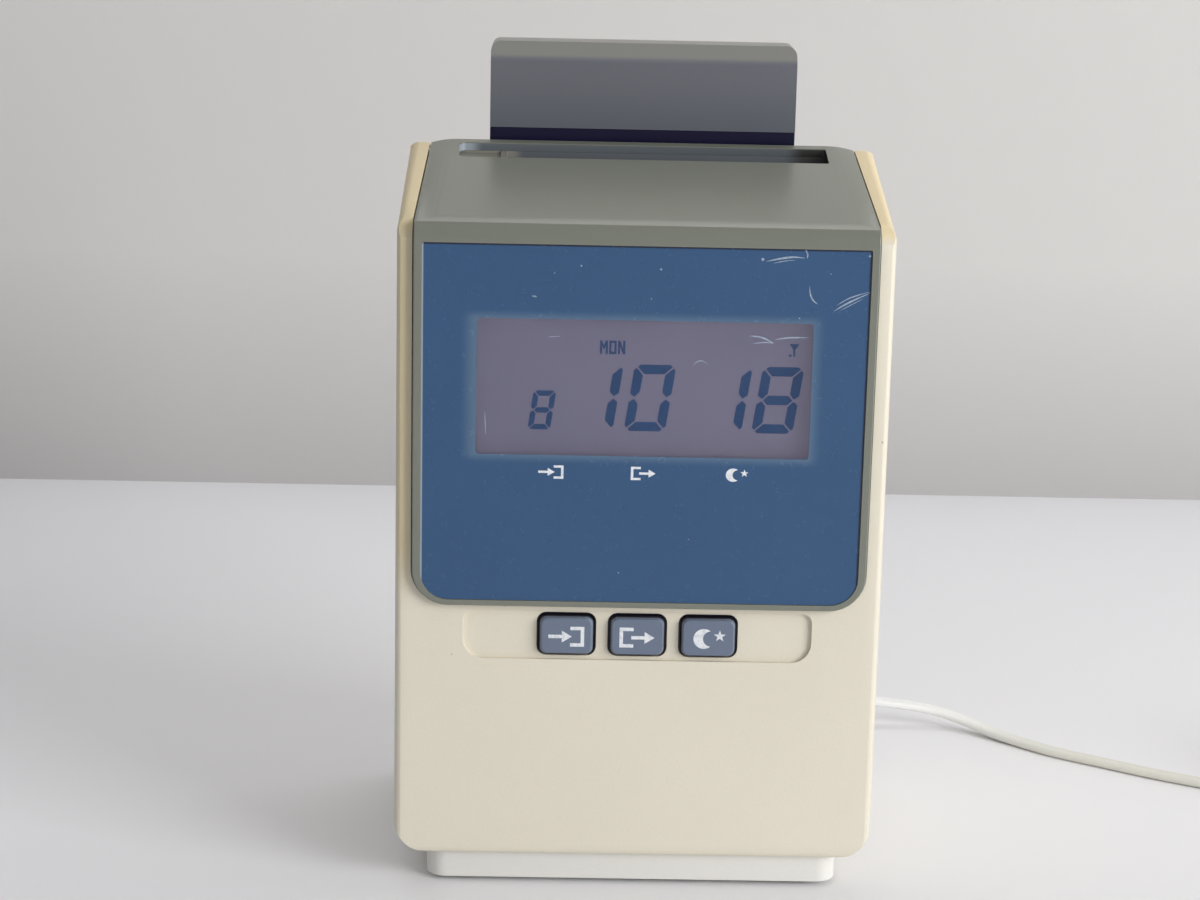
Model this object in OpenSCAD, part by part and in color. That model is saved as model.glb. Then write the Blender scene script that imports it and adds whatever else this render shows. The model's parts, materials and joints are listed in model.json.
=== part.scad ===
// Desk time recorder: a cream case with a hinged grey cover, a display window, a card slot and
// three keys, a dot print head over a card chute, and a radio time receiver docked behind the ridge.
// Millimetres, +Z up. In the modules y = 0 is the front face of the case and z = 0 is the table;
// placed() then centres the footprint on the origin.

/* [Case] */
// Width across the two cheeks
case_w = 142; // [140:1:152]
// Depth from the front face to the back
case_d = 98; // [97:1:108]
// Height of the body's underside above the table
base_h = 10; // [8.5:0.5:13]
// Height at which the sloping top would meet the front face
shoulder_z = 201; // [198:1:208]
// Slope of the top, in degrees
slope_deg = 10.9; // [9.5:0.1:12]
// Depth of the ridge behind the front face
ridge_y = 70; // [69:0.5:71]
// Thickness of the moulded walls
wall = 2.5; // [2.2:0.1:2.8]
// Radius of the lower corners, seen from the front
corner_r = 10.5; // [8:0.5:13]
// Radius of the bend between the front and the top
bend_r = 7; // [6:0.5:8]
// Width of each cheek beside the cover
cheek_w = 4.7; // [4.4:0.1:5.4]

/* [Cover] */
// How far the cover stands in front of the case
cover_proud = 2.5; // [2.2:0.1:3]
// Thickness of the cover's top
cover_t = 2.4; // [2:0.1:2.8]
// Height of the cover's lower edge
cover_low = 88; // [87.5:0.5:91]
// Gap between the cover and the case
cover_gap = 0.4; // [0.3:0.05:0.6]
// Width of the frame beside the window
frame_w = 2.4; // [2.1:0.1:3.5]
// Width of the frame under the window
frame_low_w = 1.8; // [1.6:0.1:3]
// Thickness of the clear pane
pane_t = 2; // [1.5:0.1:2.2]
// Thickness of the printed film on the pane
film_t = 0.25; // [0.2:0.05:0.4]
// Radius of the hinge pins
hinge_r = 1.5; // [1.2:0.1:1.7]

/* [Display] */
// Width of the clear part of the film
view_w = 95.6; // [90:0.2:98]
// Height of the clear part of the film
view_h = 39.7; // [36:0.1:42]
// Height of the middle of the display
view_z = 153.2; // [151:0.2:155]

/* [Keys] */
// Width of a key cap
key_w = 15.8; // [14:0.1:16.4]
// Height of a key cap
key_h = 11.6; // [10:0.1:12]
// Distance from key to key
key_pitch = 20.75; // [20.4:0.05:23]
// Height of the middle of the keys
key_z = 78.8; // [77.5:0.1:79.2]
// Gap round a key in its hole
key_gap = 0.8; // [0.5:0.1:0.9]
// Travel of a key
key_travel = 1.2; // [0.8:0.1:1.6]
// Width of the key recess
recess_w = 102; // [96:1:108]
// Height of the key recess
recess_h = 15.1; // [14.6:0.1:15.6]
// Depth of the key recess
recess_d = 1.2; // [0.8:0.1:1.4]

/* [Card path] */
// Distance from each end of the card mouth to the side of the case
slot_side = 15.3; // [15:0.1:18]
// Length of the mouth from front to back
slot_d = 13.5; // [12:0.1:14]
// Width of the shelf at the left end of the mouth
shelf_w = 14.5; // [10:0.5:18]
// Depth of that shelf under the cover's top
shelf_d = 3; // [2.8:0.1:5]
// Gap between the two card guides
chute_gap = 5; // [4.8:0.1:5.4]
// Radius of the feed rollers
feed_r = 8.5; // [8:0.1:9]
// Radius of the pinch rollers
pinch_r = 6; // [5.5:0.1:6.2]

/* [Print mechanism] */
// Radius of the feed shaft, guide shaft and drive screw
shaft_r = 3; // [2.5:0.1:3.2]
// Radial clearance of shafts that run in bushes
run_gap = 0.05; // [0.03:0.01:0.08]
// Module of the gears
gear_m = 0.8; // [0.7:0.02:0.84]
// Travel of the carriage to each side
carriage_travel = 36; // [30:1:38]
// Radius of the carriage motor
motor_r = 12.5; // [11:0.1:12.6]

/* [Radio receiver] */
// Width of the receiver
unit_w = 93.6; // [88:0.2:96]
// Depth of the receiver
unit_d = 18; // [15:0.5:18.5]
// Height of the receiver
unit_h = 58; // [52:1:64]
// Height of its dark base
unit_base_h = 32; // [30:1:34]
// How far it stands in its dock
dock_deep = 26; // [22:0.5:27]

/* [Cord] */
// Width of the flat cord
cord_w = 5.2; // [4.8:0.1:5.4]
// Thickness of the flat cord
cord_t = 2.6; // [2.2:0.1:2.7]
// Turns of the coil, in four layers
coil_turns = 8; // [8]

/* [Hidden] */

// Colours
cream = "#DDD6C6";
grey = "#7C8078";
film_blue = "#42608A";
key_grey = "#707A8C";
off_white = "#D8D6D2";
steel = "#B4B8BC";
black = "#26262A";
board_green = "#2F6B45";

// Shared clearances and small sizes
$fn = 48;
eps = 0.02;
seat_gap = 0.1;
past = 1;
half_w = case_w / 2;
inner_half = half_w - wall;
floor_z = base_h + wall;

// The sloping top and the rear deck behind it
cheek_drop = 1.2;
cheek_edge_r = 3;
cheek_flare = 1.4;
flare_deg = atan(cheek_flare * cos(slope_deg) / ridge_y);
flange_t = 3;
deck_drop = 2.6;
deck_fall = 5;
deck_r = 8;
edge_r = 2;
split_y = ridge_y + 2;
function top_z(y, drop = 0) = shoulder_z + y * tan(slope_deg) - drop / cos(slope_deg);
deck_z = top_z(ridge_y) - deck_drop;

// Cover
open_half = half_w - cheek_w;
open_low = cover_low - cover_gap;
cover_half = open_half - cover_gap;
hinge_half = cover_half - cheek_flare;
skirt_t = 1.8;
crown_w = 8;
crown_drop = cheek_drop;
skirt_deep = 8;
frame_back = 1.5;
film_sunk = 0.35;
film_front = film_sunk - cover_proud;
pane_front = film_front + film_t;
pane_back = pane_front + pane_t;
pane_half = cover_half - frame_w;
pane_low = cover_low + frame_low_w;
pane_top = top_z(bend_r - cover_proud, bend_r) - 0.4;
ledge = 3;
hinge_y = ridge_y - 3.5;
hinge_z = top_z(hinge_y) - 3.3;
ear_r = 3.6;
ear_w = 4;
pin_deep = 3.5;

// Card path
slot_w = case_w - 2 * slot_side;
slot_r = 2.2;
slot_far_r = 0.8;
mouth_back = ridge_y - 3;
mouth_front = mouth_back - slot_d;
mouth_wall = 1.1;
chute_y = mouth_back - 7;
throat_front = chute_y - chute_gap / 2;
throat_back = chute_y + chute_gap / 2;
print_z = shoulder_z - 15;
mouth_low = print_z + 12;
guide_t = 1;
guide_low = floor_z + 11.5;
throat_left = shelf_w - slot_w / 2;
card_x = (throat_left + slot_w / 2) / 2;
platen_half = (slot_w - shelf_w) / 2 - 2;
platen_t = 1.9;
strike_h = 6;

// Chassis and shafts
gear_room = 7.3;
plate_x = inner_half - gear_room;
plate_t = 1.2;
plate_in = plate_x - plate_t;
pan_t = 1.5;
pan_z = floor_z + pan_t;
plate_front = 14;
plate_back = case_d - 8;
shaft_z = print_z - 18;
screw_y = chute_y - 28;
guide_y = chute_y - 16;
feed_z = print_z - 46;
card_gap = 0.25;
feed_y = chute_y + card_gap + feed_r;
pinch_y = chute_y - card_gap - pinch_r;
pinch_shaft_r = 2;
roller_w = 14;
roller_reach = 24;
bush_r = shaft_r + 2;
bush_flange = 1.2;
bush_lip = 1.2;
shaft_end = 1;
bush_proud = 0.6;

// Gears and motors
gear_pa = 25;
gear_play = 0.05;
gear_x = plate_x + bush_proud + 0.2;
gear_w = 4.5;
pinion_teeth = 12;
screw_teeth = 36;
feed_teeth = 40;
mesh_gap = 0.05;
screw_centres = gear_m * (screw_teeth + pinion_teeth) / 2 + mesh_gap;
feed_centres = gear_m * (feed_teeth + pinion_teeth) / 2 + mesh_gap;
carriage_motor_z = shaft_z - screw_centres;
back_room = case_d - wall - throat_back - guide_t;
motor_side = 4;
feed_motor_r = back_room / 2 - motor_side;
feed_motor_y = throat_back + guide_t + motor_side + feed_motor_r;
feed_motor_z = feed_z - sqrt(pow(feed_centres, 2) - pow(feed_motor_y - feed_y, 2));
motor_len = 20;
motor_shaft_r = 1.5;
motor_shaft_in = 8;
collar_r = 4;

// Carriage, head and ribbon
carriage_w = 24;
carriage_low = shaft_z - 5.8;
carriage_top = shaft_z + 7;
head_w = 18;
head_front = guide_y - 6;
head_back = guide_y + 6;
nose_tip = chute_y - 1.6;
ribbon_y = nose_tip + 0.3;
ribbon_t = 0.2;
ribbon_h = 8;
cassette_low = print_z - 8;
cassette_top = print_z + 8;
cassette_half = plate_in - 1.5;
cassette_back = screw_y + 2;
arm_w = 6;
tab_w = 6;
tab_t = 1.5;
knob_x = 38;
knob_y = plate_front + 10;
knob_r = 7;
knob_pin_r = 2;

// Display and boards
lcd_half = view_w / 2 + 2.6;
lcd_tall = view_h + 6;
lcd_front = 3;
lcd_t = 2.6;
holder_rim = 2.6;
bracket_t = 1.2;
bracket_y = plate_front - bracket_t;
board_t = 1.6;
board_y = 30;
board_low = pan_z + 4;
board_top = board_low + 100;

// Keys
cap_front = -1;
cap_round = 2;
flange_over = 2;
flange_thick = 1.4;
key_back = wall + seat_gap + flange_thick;
stem_r = 2.5;
stem_end = key_back + 5.5;
switch_tip = stem_end + key_travel + seat_gap;
switch_back = switch_tip + 5;
key_board_w = 90;
key_board_h = 26;
post_r = 2.5;

// Radio receiver and its dock
unit_y = ridge_y + 4;
unit_low = deck_z - dock_deep;
unit_gap = 0.4;
dock_wall = 1.4;
dock_floor = 1.8;
shell_t = 1.8;
unit_chamfer = [3.5, 5.5];
unit_corner_r = 3;
unit_split = unit_y + unit_d / 2;
rod_r = 4;

// Screws and feet
boss_r = 3.4;
boss_x = inner_half - 2.9;
boss_zs = [base_h + 14, print_z + 6];
pilot_r = 1.25;
screw_clear = 1.6;
head_r = 2.9;
head_h = 2.4;
screw_seat = split_y + 3.5;
foot_r = 7;
foot_sunk = 0.8;
plinth_low = 1.5;
plinth_inset = 9.5;
plinth_r = 6;
plinth_front = 3;
plinth_back = case_d - 6;
foot_inset = 12;

// Cord: where it leaves, its free route, coil and plug, in the part's own frame
gland_x = 45;
gland_z = 18;
gland_end = 74;
route = [
    [45, 74, 18], [45, 78, 18], [46.8, 86.8, 17.4], [51.7, 94.3, 16.3], [59.2, 99.2, 14.8],
    [68, 101, 13], [80, 101.4, 10.6], [91, 101.4, 8.6], [101.7, 101.2, 7.4], [112.2, 99.8, 5.7],
    [122.3, 95.2, 3.4], [131.7, 87.2, 1.8], [146.8, 73.6, 1.4], [162, 63.4, 1.4],
    [177, 53.6, 1.4], [192, 45, 1.5], [200, 41, 1.8], [207.6, 36.7, 2.1], [217.9, 30.7, 2.1],
    [226.6, 25.7, 2.1]
];
coil_centre = [258.8, 47];
coil_out_r = 34.5;
coil_step = 5.8;
layer_turns = 2;
layer_rise = 3.4;
coil_lift = 0.8;
coil_from = 240;
rings_a_turn = 24;
tie_t = 0.6;
tie_w = 8;
tie_at = 60;
tail_steps = [[3, 1], [9, 0.75], [15, 0.25], [21, 0], [25, 0]];
plug_z = 9.8;
relief_l = 20;
plug_l = 26;
plug_w = 24;
blade_l = 17;
blade_w = 6.3;
blade_t = 1.5;
blade_pitch = 12.7;

// Drawing helpers

// A profile given as [y, z], drawn out from x0 to x1
module along_x(x0, x1) {
    translate([x0, 0, 0]) rotate([90, 0, 90]) linear_extrude(x1 - x0) children();
}

// A profile given as [x, z], drawn out from y0 to y1
module along_y(y0, y1) {
    translate([0, y1, 0]) rotate([90, 0, 0]) linear_extrude(y1 - y0) children();
}

// A profile given as [x, y], drawn out from z0 to z1
module along_z(z0, z1) {
    translate([0, 0, z0]) linear_extrude(z1 - z0) children();
}

// A round bar along X
module bar_x(x0, x1, y, z, r) {
    translate([x0, y, z]) rotate([0, 90, 0]) cylinder(h = x1 - x0, r = r);
}

// A round bar along Y
module bar_y(y0, y1, x, z, r) {
    translate([x, y0, z]) rotate([-90, 0, 0]) cylinder(h = y1 - y0, r = r);
}

module block(low, high) {
    translate(low) cube(high - low);
}

// The same shape on both sides of the middle plane
module both_sides() {
    children();
    mirror([1, 0, 0]) children();
}

function arc(c, r, from, to, n = 8) =
    [for (i = [0 : n]) c + r * [cos(from + (to - from) * i / n), sin(from + (to - from) * i / n)]];

// A box outline with its own radius at the lower left, lower right, upper right and upper left
function round_box(x0, z0, x1, z1, r, n = 8) = concat(
    arc([x0 + r[0], z0 + r[0]], r[0], 180, 270, n),
    arc([x1 - r[1], z0 + r[1]], r[1], 270, 360, n),
    arc([x1 - r[2], z1 - r[2]], r[2], 0, 90, n),
    arc([x0 + r[3], z1 - r[3]], r[3], 90, 180, n));

function centred_box(x, z, w, h, r, n = 5) =
    round_box(x - w / 2, z - h / 2, x + w / 2, z + h / 2, [r, r, r, r], n);

// The side outline of what lies behind a front line and under the sloping top
function wedge(front, drop, r, back, low) = concat(
    [[back, low], [front, low]],
    arc([front + r, top_z(front + r, drop + r)], r, 180, 90 + slope_deg, 10),
    [[back, top_z(back, drop)]]);

// The curve by which the cover's top falls away to its right side
function crown(rise) = let(r = (pow(crown_w, 2) + pow(crown_drop, 2)) / (2 * crown_drop))
    arc([-crown_w, rise - r], r, 90 - 2 * atan(crown_drop / crown_w), 90);

// What lies left of a side that leans towards the middle on its way to the ridge, under a rise over the slope
module left_of_side(half, rise, top) {
    translate([half, 0, shoulder_z]) rotate([slope_deg, 0, 0]) rotate(flare_deg)
        along_y(-shoulder_z, 2 * case_d) polygon(concat(
            [[-2 * case_w, rise], [-2 * case_w, -2 * shoulder_z], [0, -2 * shoulder_z]], top));
}

// What lies between two such sides
module between_sides(half, rise, top) {
    intersection() {
        left_of_side(half, rise, top);
        mirror([1, 0, 0]) left_of_side(half, rise, top);
    }
}

// The centre of the footprint comes to the origin
frame_shift = (case_d - cover_proud) / 2;
module placed() {
    translate([0, -frame_shift, 0]) children();
}

// Front and rear case

// The whole body's front view, drawn in by a margin
function body_outline(inset) = round_box(
    inset - half_w, base_h + inset, half_w - inset, top_z(case_d) + 20,
    [corner_r - inset, corner_r - inset, 1, 1]);

function cheek_profile() = concat(
    [[split_y, base_h]],
    arc([edge_r, base_h + edge_r], edge_r, 270, 180, 4),
    arc([bend_r, top_z(bend_r, cheek_drop + bend_r)], bend_r, 180, 90 + slope_deg, 10),
    [[ridge_y, top_z(ridge_y, cheek_drop)], [split_y, deck_z]]);

module front_block() {
    intersection() {
        along_x(-half_w, half_w) polygon(cheek_profile());
        along_y(-past, split_y) polygon(body_outline(0));
        along_z(0, top_z(case_d)) polygon(concat(
            arc([edge_r - half_w, edge_r], edge_r, 180, 270, 4),
            arc([half_w - edge_r, edge_r], edge_r, 270, 360, 4),
            [[half_w, split_y], [-half_w, split_y]]));
        translate([0, 0, shoulder_z]) rotate([slope_deg, 0, 0]) along_y(-shoulder_z, 2 * case_d)
            polygon(round_box(-half_w, -2 * shoulder_z, half_w, -cheek_drop,
                              [1, 1, cheek_edge_r, cheek_edge_r]));
    }
}

module front_hollow() {
    intersection() {
        along_x(-inner_half, inner_half)
            polygon(wedge(wall, cheek_drop + flange_t, bend_r - flange_t / 2, split_y + past, floor_z));
        along_y(0, split_y + past) polygon(body_outline(wall));
    }
}

module front_opening() {
    intersection() {
        along_y(-past, split_y + past) polygon(round_box(
            -open_half, open_low, open_half, top_z(case_d) + 30, [corner_r, corner_r, 1, 1]));
        between_sides(open_half, case_w, [[0, case_w]]);
    }
}

module key_places() {
    for (i = [-1, 0, 1]) translate([i * key_pitch, 0, key_z]) children();
}

module front_case() {
    color(cream) difference() {
        union() {
            difference() {
                union() {
                    difference() {
                        front_block();
                        front_hollow();
                    }
                    intersection() {
                        front_block();
                        both_sides() bar_x(hinge_half, inner_half + past, hinge_y, hinge_z, ear_r);
                    }
                }
                front_opening();
            }
            both_sides() for (z = boss_zs) bar_y(split_y - 18, split_y, boss_x, z, boss_r);
            both_sides() for (z = [key_z - 10, key_z + 5])
                bar_y(wall - past / 2, switch_back, key_board_w / 2 - 5, z, post_r);
        }
        both_sides() bar_x(hinge_half - past, open_half + pin_deep, hinge_y, hinge_z, hinge_r + run_gap);
        both_sides() for (z = boss_zs) bar_y(split_y - 14, split_y + past, boss_x, z, pilot_r);
        along_y(-past, recess_d) polygon(round_box(
            -recess_w / 2, key_z - recess_h / 2, recess_w / 2, key_z + recess_h / 2, [6, 6, 3, 3]));
        key_places() along_y(-past, wall + past)
            polygon(centred_box(0, 0, key_w + 2 * key_gap, key_h + 2 * key_gap, cap_round + key_gap));
        both_sides() for (z = plinth_screws_y()) translate([plinth_screw_x(), z, base_h - past])
            cylinder(h = wall + 2 * past, r = pilot_r);
    }
}

function rear_profile(drop, back, low, front) = let(r = deck_r - drop) concat(
    [[front, low], [back, low]],
    arc([back - r, deck_z - deck_fall - drop - r], r, 0, 90, 8),
    [[front, deck_z - drop]]);

module dock_box(grow, low, high) {
    block([-unit_w / 2 - unit_gap - grow, unit_y - unit_gap - grow, low],
          [unit_w / 2 + unit_gap + grow, unit_y + unit_d + unit_gap + grow, high]);
}

module keyhole(x, z) {
    bar_y(case_d - wall - past, case_d + past, x, z - 8, 4.5);
    bar_y(case_d - wall - past, case_d + past, x, z, 2.25);
    block([x - 2.25, case_d - wall - past, z - 8], [x + 2.25, case_d + past, z]);
}

module rear_case() {
    vent_pitch = 6;
    color(cream) difference() {
        union() {
            difference() {
                intersection() {
                    along_x(-half_w, half_w) polygon(rear_profile(0, case_d, base_h, split_y));
                    along_y(split_y, case_d) polygon(body_outline(0));
                    along_z(0, top_z(case_d)) polygon(concat(
                        [[-half_w, split_y], [half_w, split_y]],
                        arc([half_w - 4, case_d - 4], 4, 0, 90, 5),
                        arc([4 - half_w, case_d - 4], 4, 90, 180, 5)));
                }
                intersection() {
                    along_x(-inner_half, inner_half)
                        polygon(rear_profile(wall, case_d - wall, floor_z, split_y - past));
                    along_y(split_y - past, case_d) polygon(body_outline(wall));
                }
            }
            intersection() {
                dock_box(dock_wall, unit_low - seat_gap - dock_floor, top_z(case_d));
                along_x(-half_w, half_w) polygon(rear_profile(0, case_d, base_h, split_y));
            }
            both_sides() for (z = boss_zs) bar_y(split_y, case_d - wall / 2, boss_x, z, boss_r + 1);
        }
        dock_box(0, unit_low - seat_gap, top_z(case_d) + past);
        both_sides() for (z = boss_zs) {
            bar_y(split_y - past, case_d, boss_x, z, screw_clear);
            bar_y(screw_seat, case_d + past, boss_x, z, head_r + 0.3);
        }
        for (i = [0 : 7]) along_y(case_d - wall - past, case_d + past)
            polygon(centred_box(0, floor_z + 50 + i * vent_pitch, 60, 2.4, 1.1, 4));
        keyhole(-35, feed_z + 12);
        keyhole(35, feed_z + 12);
        bar_y(case_d - wall - past, case_d + past, gland_x, gland_z, gland_neck_r + 2 * eps);
    }
}

// Plinth, feet and screws

plinth_half = half_w - plinth_inset;
function plinth_outline(inset) = round_box(
    inset - plinth_half, plinth_front + inset, plinth_half - inset, plinth_back - inset,
    [for (i = [0 : 3]) plinth_r - inset], 6);
function plinth_screws_y() = [plinth_front + 22, split_y - 12];
function plinth_screw_x() = plinth_half - 9;

module foot_places() {
    both_sides() for (y = [plinth_front + foot_inset, plinth_back - foot_inset])
        translate([plinth_half - foot_inset, y, 0]) children();
}

module base_plinth() {
    plinth_wall = 2.2;
    color(off_white) difference() {
        union() {
            difference() {
                along_z(plinth_low, base_h) polygon(plinth_outline(0));
                along_z(plinth_low + plinth_wall, base_h + past) polygon(plinth_outline(plinth_wall));
            }
            both_sides() for (y = plinth_screws_y()) translate([plinth_screw_x(), y, plinth_low])
                cylinder(h = base_h - plinth_low, r = 4.5);
        }
        foot_places() translate([0, 0, plinth_low - past]) cylinder(h = past + foot_sunk, r = foot_r + seat_gap);
        both_sides() for (y = plinth_screws_y()) translate([plinth_screw_x(), y, 0]) {
            cylinder(h = base_h + past, r = screw_clear);
            cylinder(h = base_h - 3, r = head_r + 0.3);
        }
    }
}

module rubber_feet() {
    color(black) foot_places() {
        cylinder(h = plinth_low + foot_sunk, r = foot_r);
    }
}

module screw(length) {
    difference() {
        union() {
            cylinder(h = head_h, r = head_r);
            translate([0, 0, -length]) cylinder(h = length + eps, r = pilot_r - seat_gap / 2);
        }
        for (a = [0, 90]) rotate(a) translate([-2, -0.4, head_h - 1]) cube([4, 0.8, past + 1]);
    }
}

module case_screws() {
    color(steel) {
        both_sides() for (z = boss_zs) translate([boss_x, screw_seat, z]) rotate([-90, 0, 0]) screw(15);
        both_sides() for (y = plinth_screws_y())
            translate([plinth_screw_x(), y, base_h - 3]) rotate([180, 0, 0]) screw(5);
    }
}

// Chassis

module chassis_pan() {
    color(steel) difference() {
        intersection() {
            along_z(floor_z, pan_z) polygon(round_box(
                -plate_x, plate_front, plate_x, plate_back, [3, 3, 3, 3], 4));
            along_y(0, case_d) polygon(body_outline(wall + seat_gap / 10));
        }
        both_sides() for (y = plinth_screws_y()) translate([plinth_screw_x(), y, floor_z - past])
            cylinder(h = pan_t + 2 * past, r = head_r);
        along_z(floor_z - past, pan_z + past) polygon(centred_box(0, 42, 70, 20, 4));
    }
}

function plate_profile() = concat(
    arc([plate_front + 3, pan_z + 3], 3, 180, 270, 4),
    arc([plate_back - 3, pan_z + 3], 3, 270, 360, 4),
    [[plate_back, feed_z - 4], [feed_y + 12, feed_z + 14], [chute_y + 8, print_z + 8],
     [plate_front + 8, print_z + 8], [plate_front, print_z]]);

// One side plate, lying in the y z plane from x = plate_in to plate_x
module side_plate(motor_y, motor_z) {
    color(steel) difference() {
        union() {
            along_x(plate_in, plate_x) polygon(plate_profile());
            block([plate_in - tab_w, plate_front + 2, cassette_low - tab_t],
                  [plate_in + eps, cassette_back - 2, cassette_low]);
        }
        for (p = [[screw_y, shaft_z], [feed_y, feed_z]])
            bar_x(plate_in - past, plate_x + past, p.x, p.y, bush_r + eps);
        bar_x(plate_in - past, plate_x + past, guide_y, shaft_z, shaft_r + eps);
        bar_x(plate_in - past, plate_x + past, pinch_y, feed_z, pinch_shaft_r + run_gap);
        bar_x(plate_in - past, plate_x + past, motor_y, motor_z, collar_r + eps);
        along_x(plate_in - past, plate_x + past) polygon(centred_box(
            (plate_front + plate_back) / 2, pan_z + 46, plate_back - plate_front - 22, 56, 8, 6));
    }
}

module left_plate() {
    mirror([1, 0, 0]) side_plate(screw_y, carriage_motor_z);
}

module right_plate() {
    side_plate(feed_motor_y, feed_motor_z);
}

module roller_places() {
    for (s = [-1, 1]) translate([card_x + s * roller_reach - roller_w / 2, 0, 0]) children();
}

module card_guide_front() {
    color(steel) difference() {
        block([seat_gap - plate_in, throat_front - guide_t, guide_low],
              [plate_in - seat_gap, throat_front, shaft_z + 8]);
        roller_places() block([-1, throat_front - guide_t - past, feed_z - pinch_r - 1],
                              [roller_w + 1, throat_front + past, feed_z + pinch_r + 1]);
    }
}

module card_guide_rear() {
    color(steel) difference() {
        union() {
            block([seat_gap - plate_in, throat_back, guide_low],
                  [plate_in - seat_gap, throat_back + guide_t, mouth_low - 1]);
            block([seat_gap - plate_in, throat_front + seat_gap, guide_low],
                  [plate_in - seat_gap, throat_back + eps, guide_low + guide_t]);
        }
        roller_places() block([-1, throat_back - past, feed_z - feed_r],
                              [roller_w + 1, throat_back + guide_t + past, feed_z + feed_r]);
        both_sides() block([plate_in - bush_flange - 0.4, throat_back - past, feed_z - bush_r - bush_lip],
                           [plate_in, throat_back + guide_t + past, feed_z + bush_r + bush_lip]);
    }
}

module platen_strip() {
    color(black) along_x(card_x - platen_half, card_x + platen_half) polygon(concat(
        [[throat_back, print_z - strike_h], [throat_back, print_z + strike_h]],
        arc([throat_back - platen_t + 1, print_z + strike_h - 2], 1, 90, 180, 4),
        arc([throat_back - platen_t + 1, print_z - strike_h + 2], 1, 180, 270, 4)));
}

// Display

module display_bracket() {
    color(steel) difference() {
        along_y(bracket_y, plate_front) polygon(centred_box(0, view_z, 2 * plate_x, lcd_tall + 20, 3));
        along_y(bracket_y - past, plate_front + past)
            polygon(centred_box(0, view_z, 2 * lcd_half - 24, lcd_tall - 20, 4));
    }
}

module lcd_holder() {
    color(off_white) difference() {
        along_y(lcd_front + 1, bracket_y) polygon(centred_box(
            0, view_z, 2 * (lcd_half + holder_rim), lcd_tall + 2 * holder_rim, 2));
        along_y(lcd_front, lcd_front + lcd_t) polygon(centred_box(
            0, view_z, 2 * (lcd_half + seat_gap), lcd_tall + 2 * seat_gap, 0.6, 2));
        along_y(lcd_front + lcd_t + 2, bracket_y + past) polygon(centred_box(
            0, view_z, 2 * lcd_half - 4, lcd_tall - 4, 2));
    }
}

module lcd_glass() {
    color("#70697F") along_y(lcd_front, lcd_front + lcd_t)
        polygon(centred_box(0, view_z, 2 * lcd_half, lcd_tall, 0.5, 2));
}

// Boards and power supply

module control_board() {
    color(board_green) difference() {
        block([seat_gap - plate_in, board_y, board_low], [plate_in - seat_gap, board_y + board_t, board_top]);
        for (x = [-1, 1], z = [board_low + 6, board_top - 6])
            bar_y(board_y - past, board_y + board_t + past, x * (plate_in - 6), z, 1.6);
    }
}

module board_parts() {
    color(black) {
        block([-24, board_y - 3, board_low + 40], [4, board_y, board_low + 68]);
        block([16, board_y - 3, board_low + 52], [34, board_y, board_low + 60]);
        block([16, board_y - 3, board_low + 36], [34, board_y, board_low + 44]);
        block([-50, board_y - 8, board_low + 74], [-12, board_y, board_low + 80]);
        block([8, board_y - 8, board_low + 80], [44, board_y, board_low + 86]);
        for (i = [0 : 2]) bar_y(board_y - 11, board_y, -46 + i * 12, board_low + 20, 4.5);
        bar_y(board_y - 9, board_y, 38, board_low + 16, 9);
        for (i = [0 : 5]) block([2 + i * 5, board_y - 2, board_low + 22], [5 + i * 5, board_y, board_low + 29]);
    }
}

module backup_battery() {
    color("#3F6EA8") for (i = [0 : 2])
        bar_x(-25, 25, board_y + board_t + seat_gap + 7.1, board_low + 12 + i * 14.4, 7.1);
}

coil_over = 6.5;
core_room = 3;
core_d = back_room - 2 * coil_over - core_room;
core_y = throat_back + guide_t + coil_over + core_room - 0.5;
core_x = -10;
module transformer_core() {
    color("#4A4A4E") translate([core_x, 0, 0]) difference() {
        block([-25, core_y, pan_z], [25, core_y + core_d, pan_z + 42]);
        for (s = [-1, 1]) translate([s * 12.5, 0, 0])
            block([-4.3, core_y - past, pan_z + 8], [4.3, core_y + core_d + past, pan_z + 34]);
    }
}

module transformer_coil() {
    color("#B8862F") translate([core_x, 0, 0]) difference() {
        along_z(pan_z + 8.2, pan_z + 33.8) polygon(round_box(
            -16.6, core_y - coil_over, 16.6, core_y + core_d + coil_over, [4, 4, 4, 4], 4));
        block([-8.3, core_y - seat_gap, pan_z], [8.3, core_y + core_d + seat_gap, pan_z + 42]);
    }
}

module key_board() {
    color(board_green) along_y(switch_back, switch_back + board_t)
        polygon(centred_box(0, key_z, key_board_w, key_board_h, 2, 3));
}

module key_switches() {
    color(black) key_places() {
        block([-3, switch_tip + 1.5, -3], [3, switch_back, 3]);
        bar_y(switch_tip, switch_tip + 1.5 + eps, 0, 0, 1.75);
    }
}

// Motors, shafts and bushes

module motor(r) {
    difference() {
        union() {
            bar_x(plate_in - motor_len, plate_in, 0, 0, r);
            bar_x(plate_in - eps, plate_x - seat_gap, 0, 0, collar_r - seat_gap);
            along_x(plate_in - 1.2, plate_in) polygon(centred_box(0, 0, 7, 2 * r + 10, 3.4));
        }
        bar_x(plate_in - motor_shaft_in, plate_x + past, 0, 0, motor_shaft_r + run_gap);
    }
}

module carriage_motor() {
    color(steel) mirror([1, 0, 0]) translate([0, screw_y, carriage_motor_z]) rotate([90, 0, 0]) motor(motor_r);
}

module feed_motor() {
    color(steel) translate([0, feed_motor_y, feed_motor_z]) motor(feed_motor_r);
}

module guide_shaft() {
    color(steel) bar_x(-plate_x, plate_x, guide_y, shaft_z, shaft_r);
}

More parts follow.
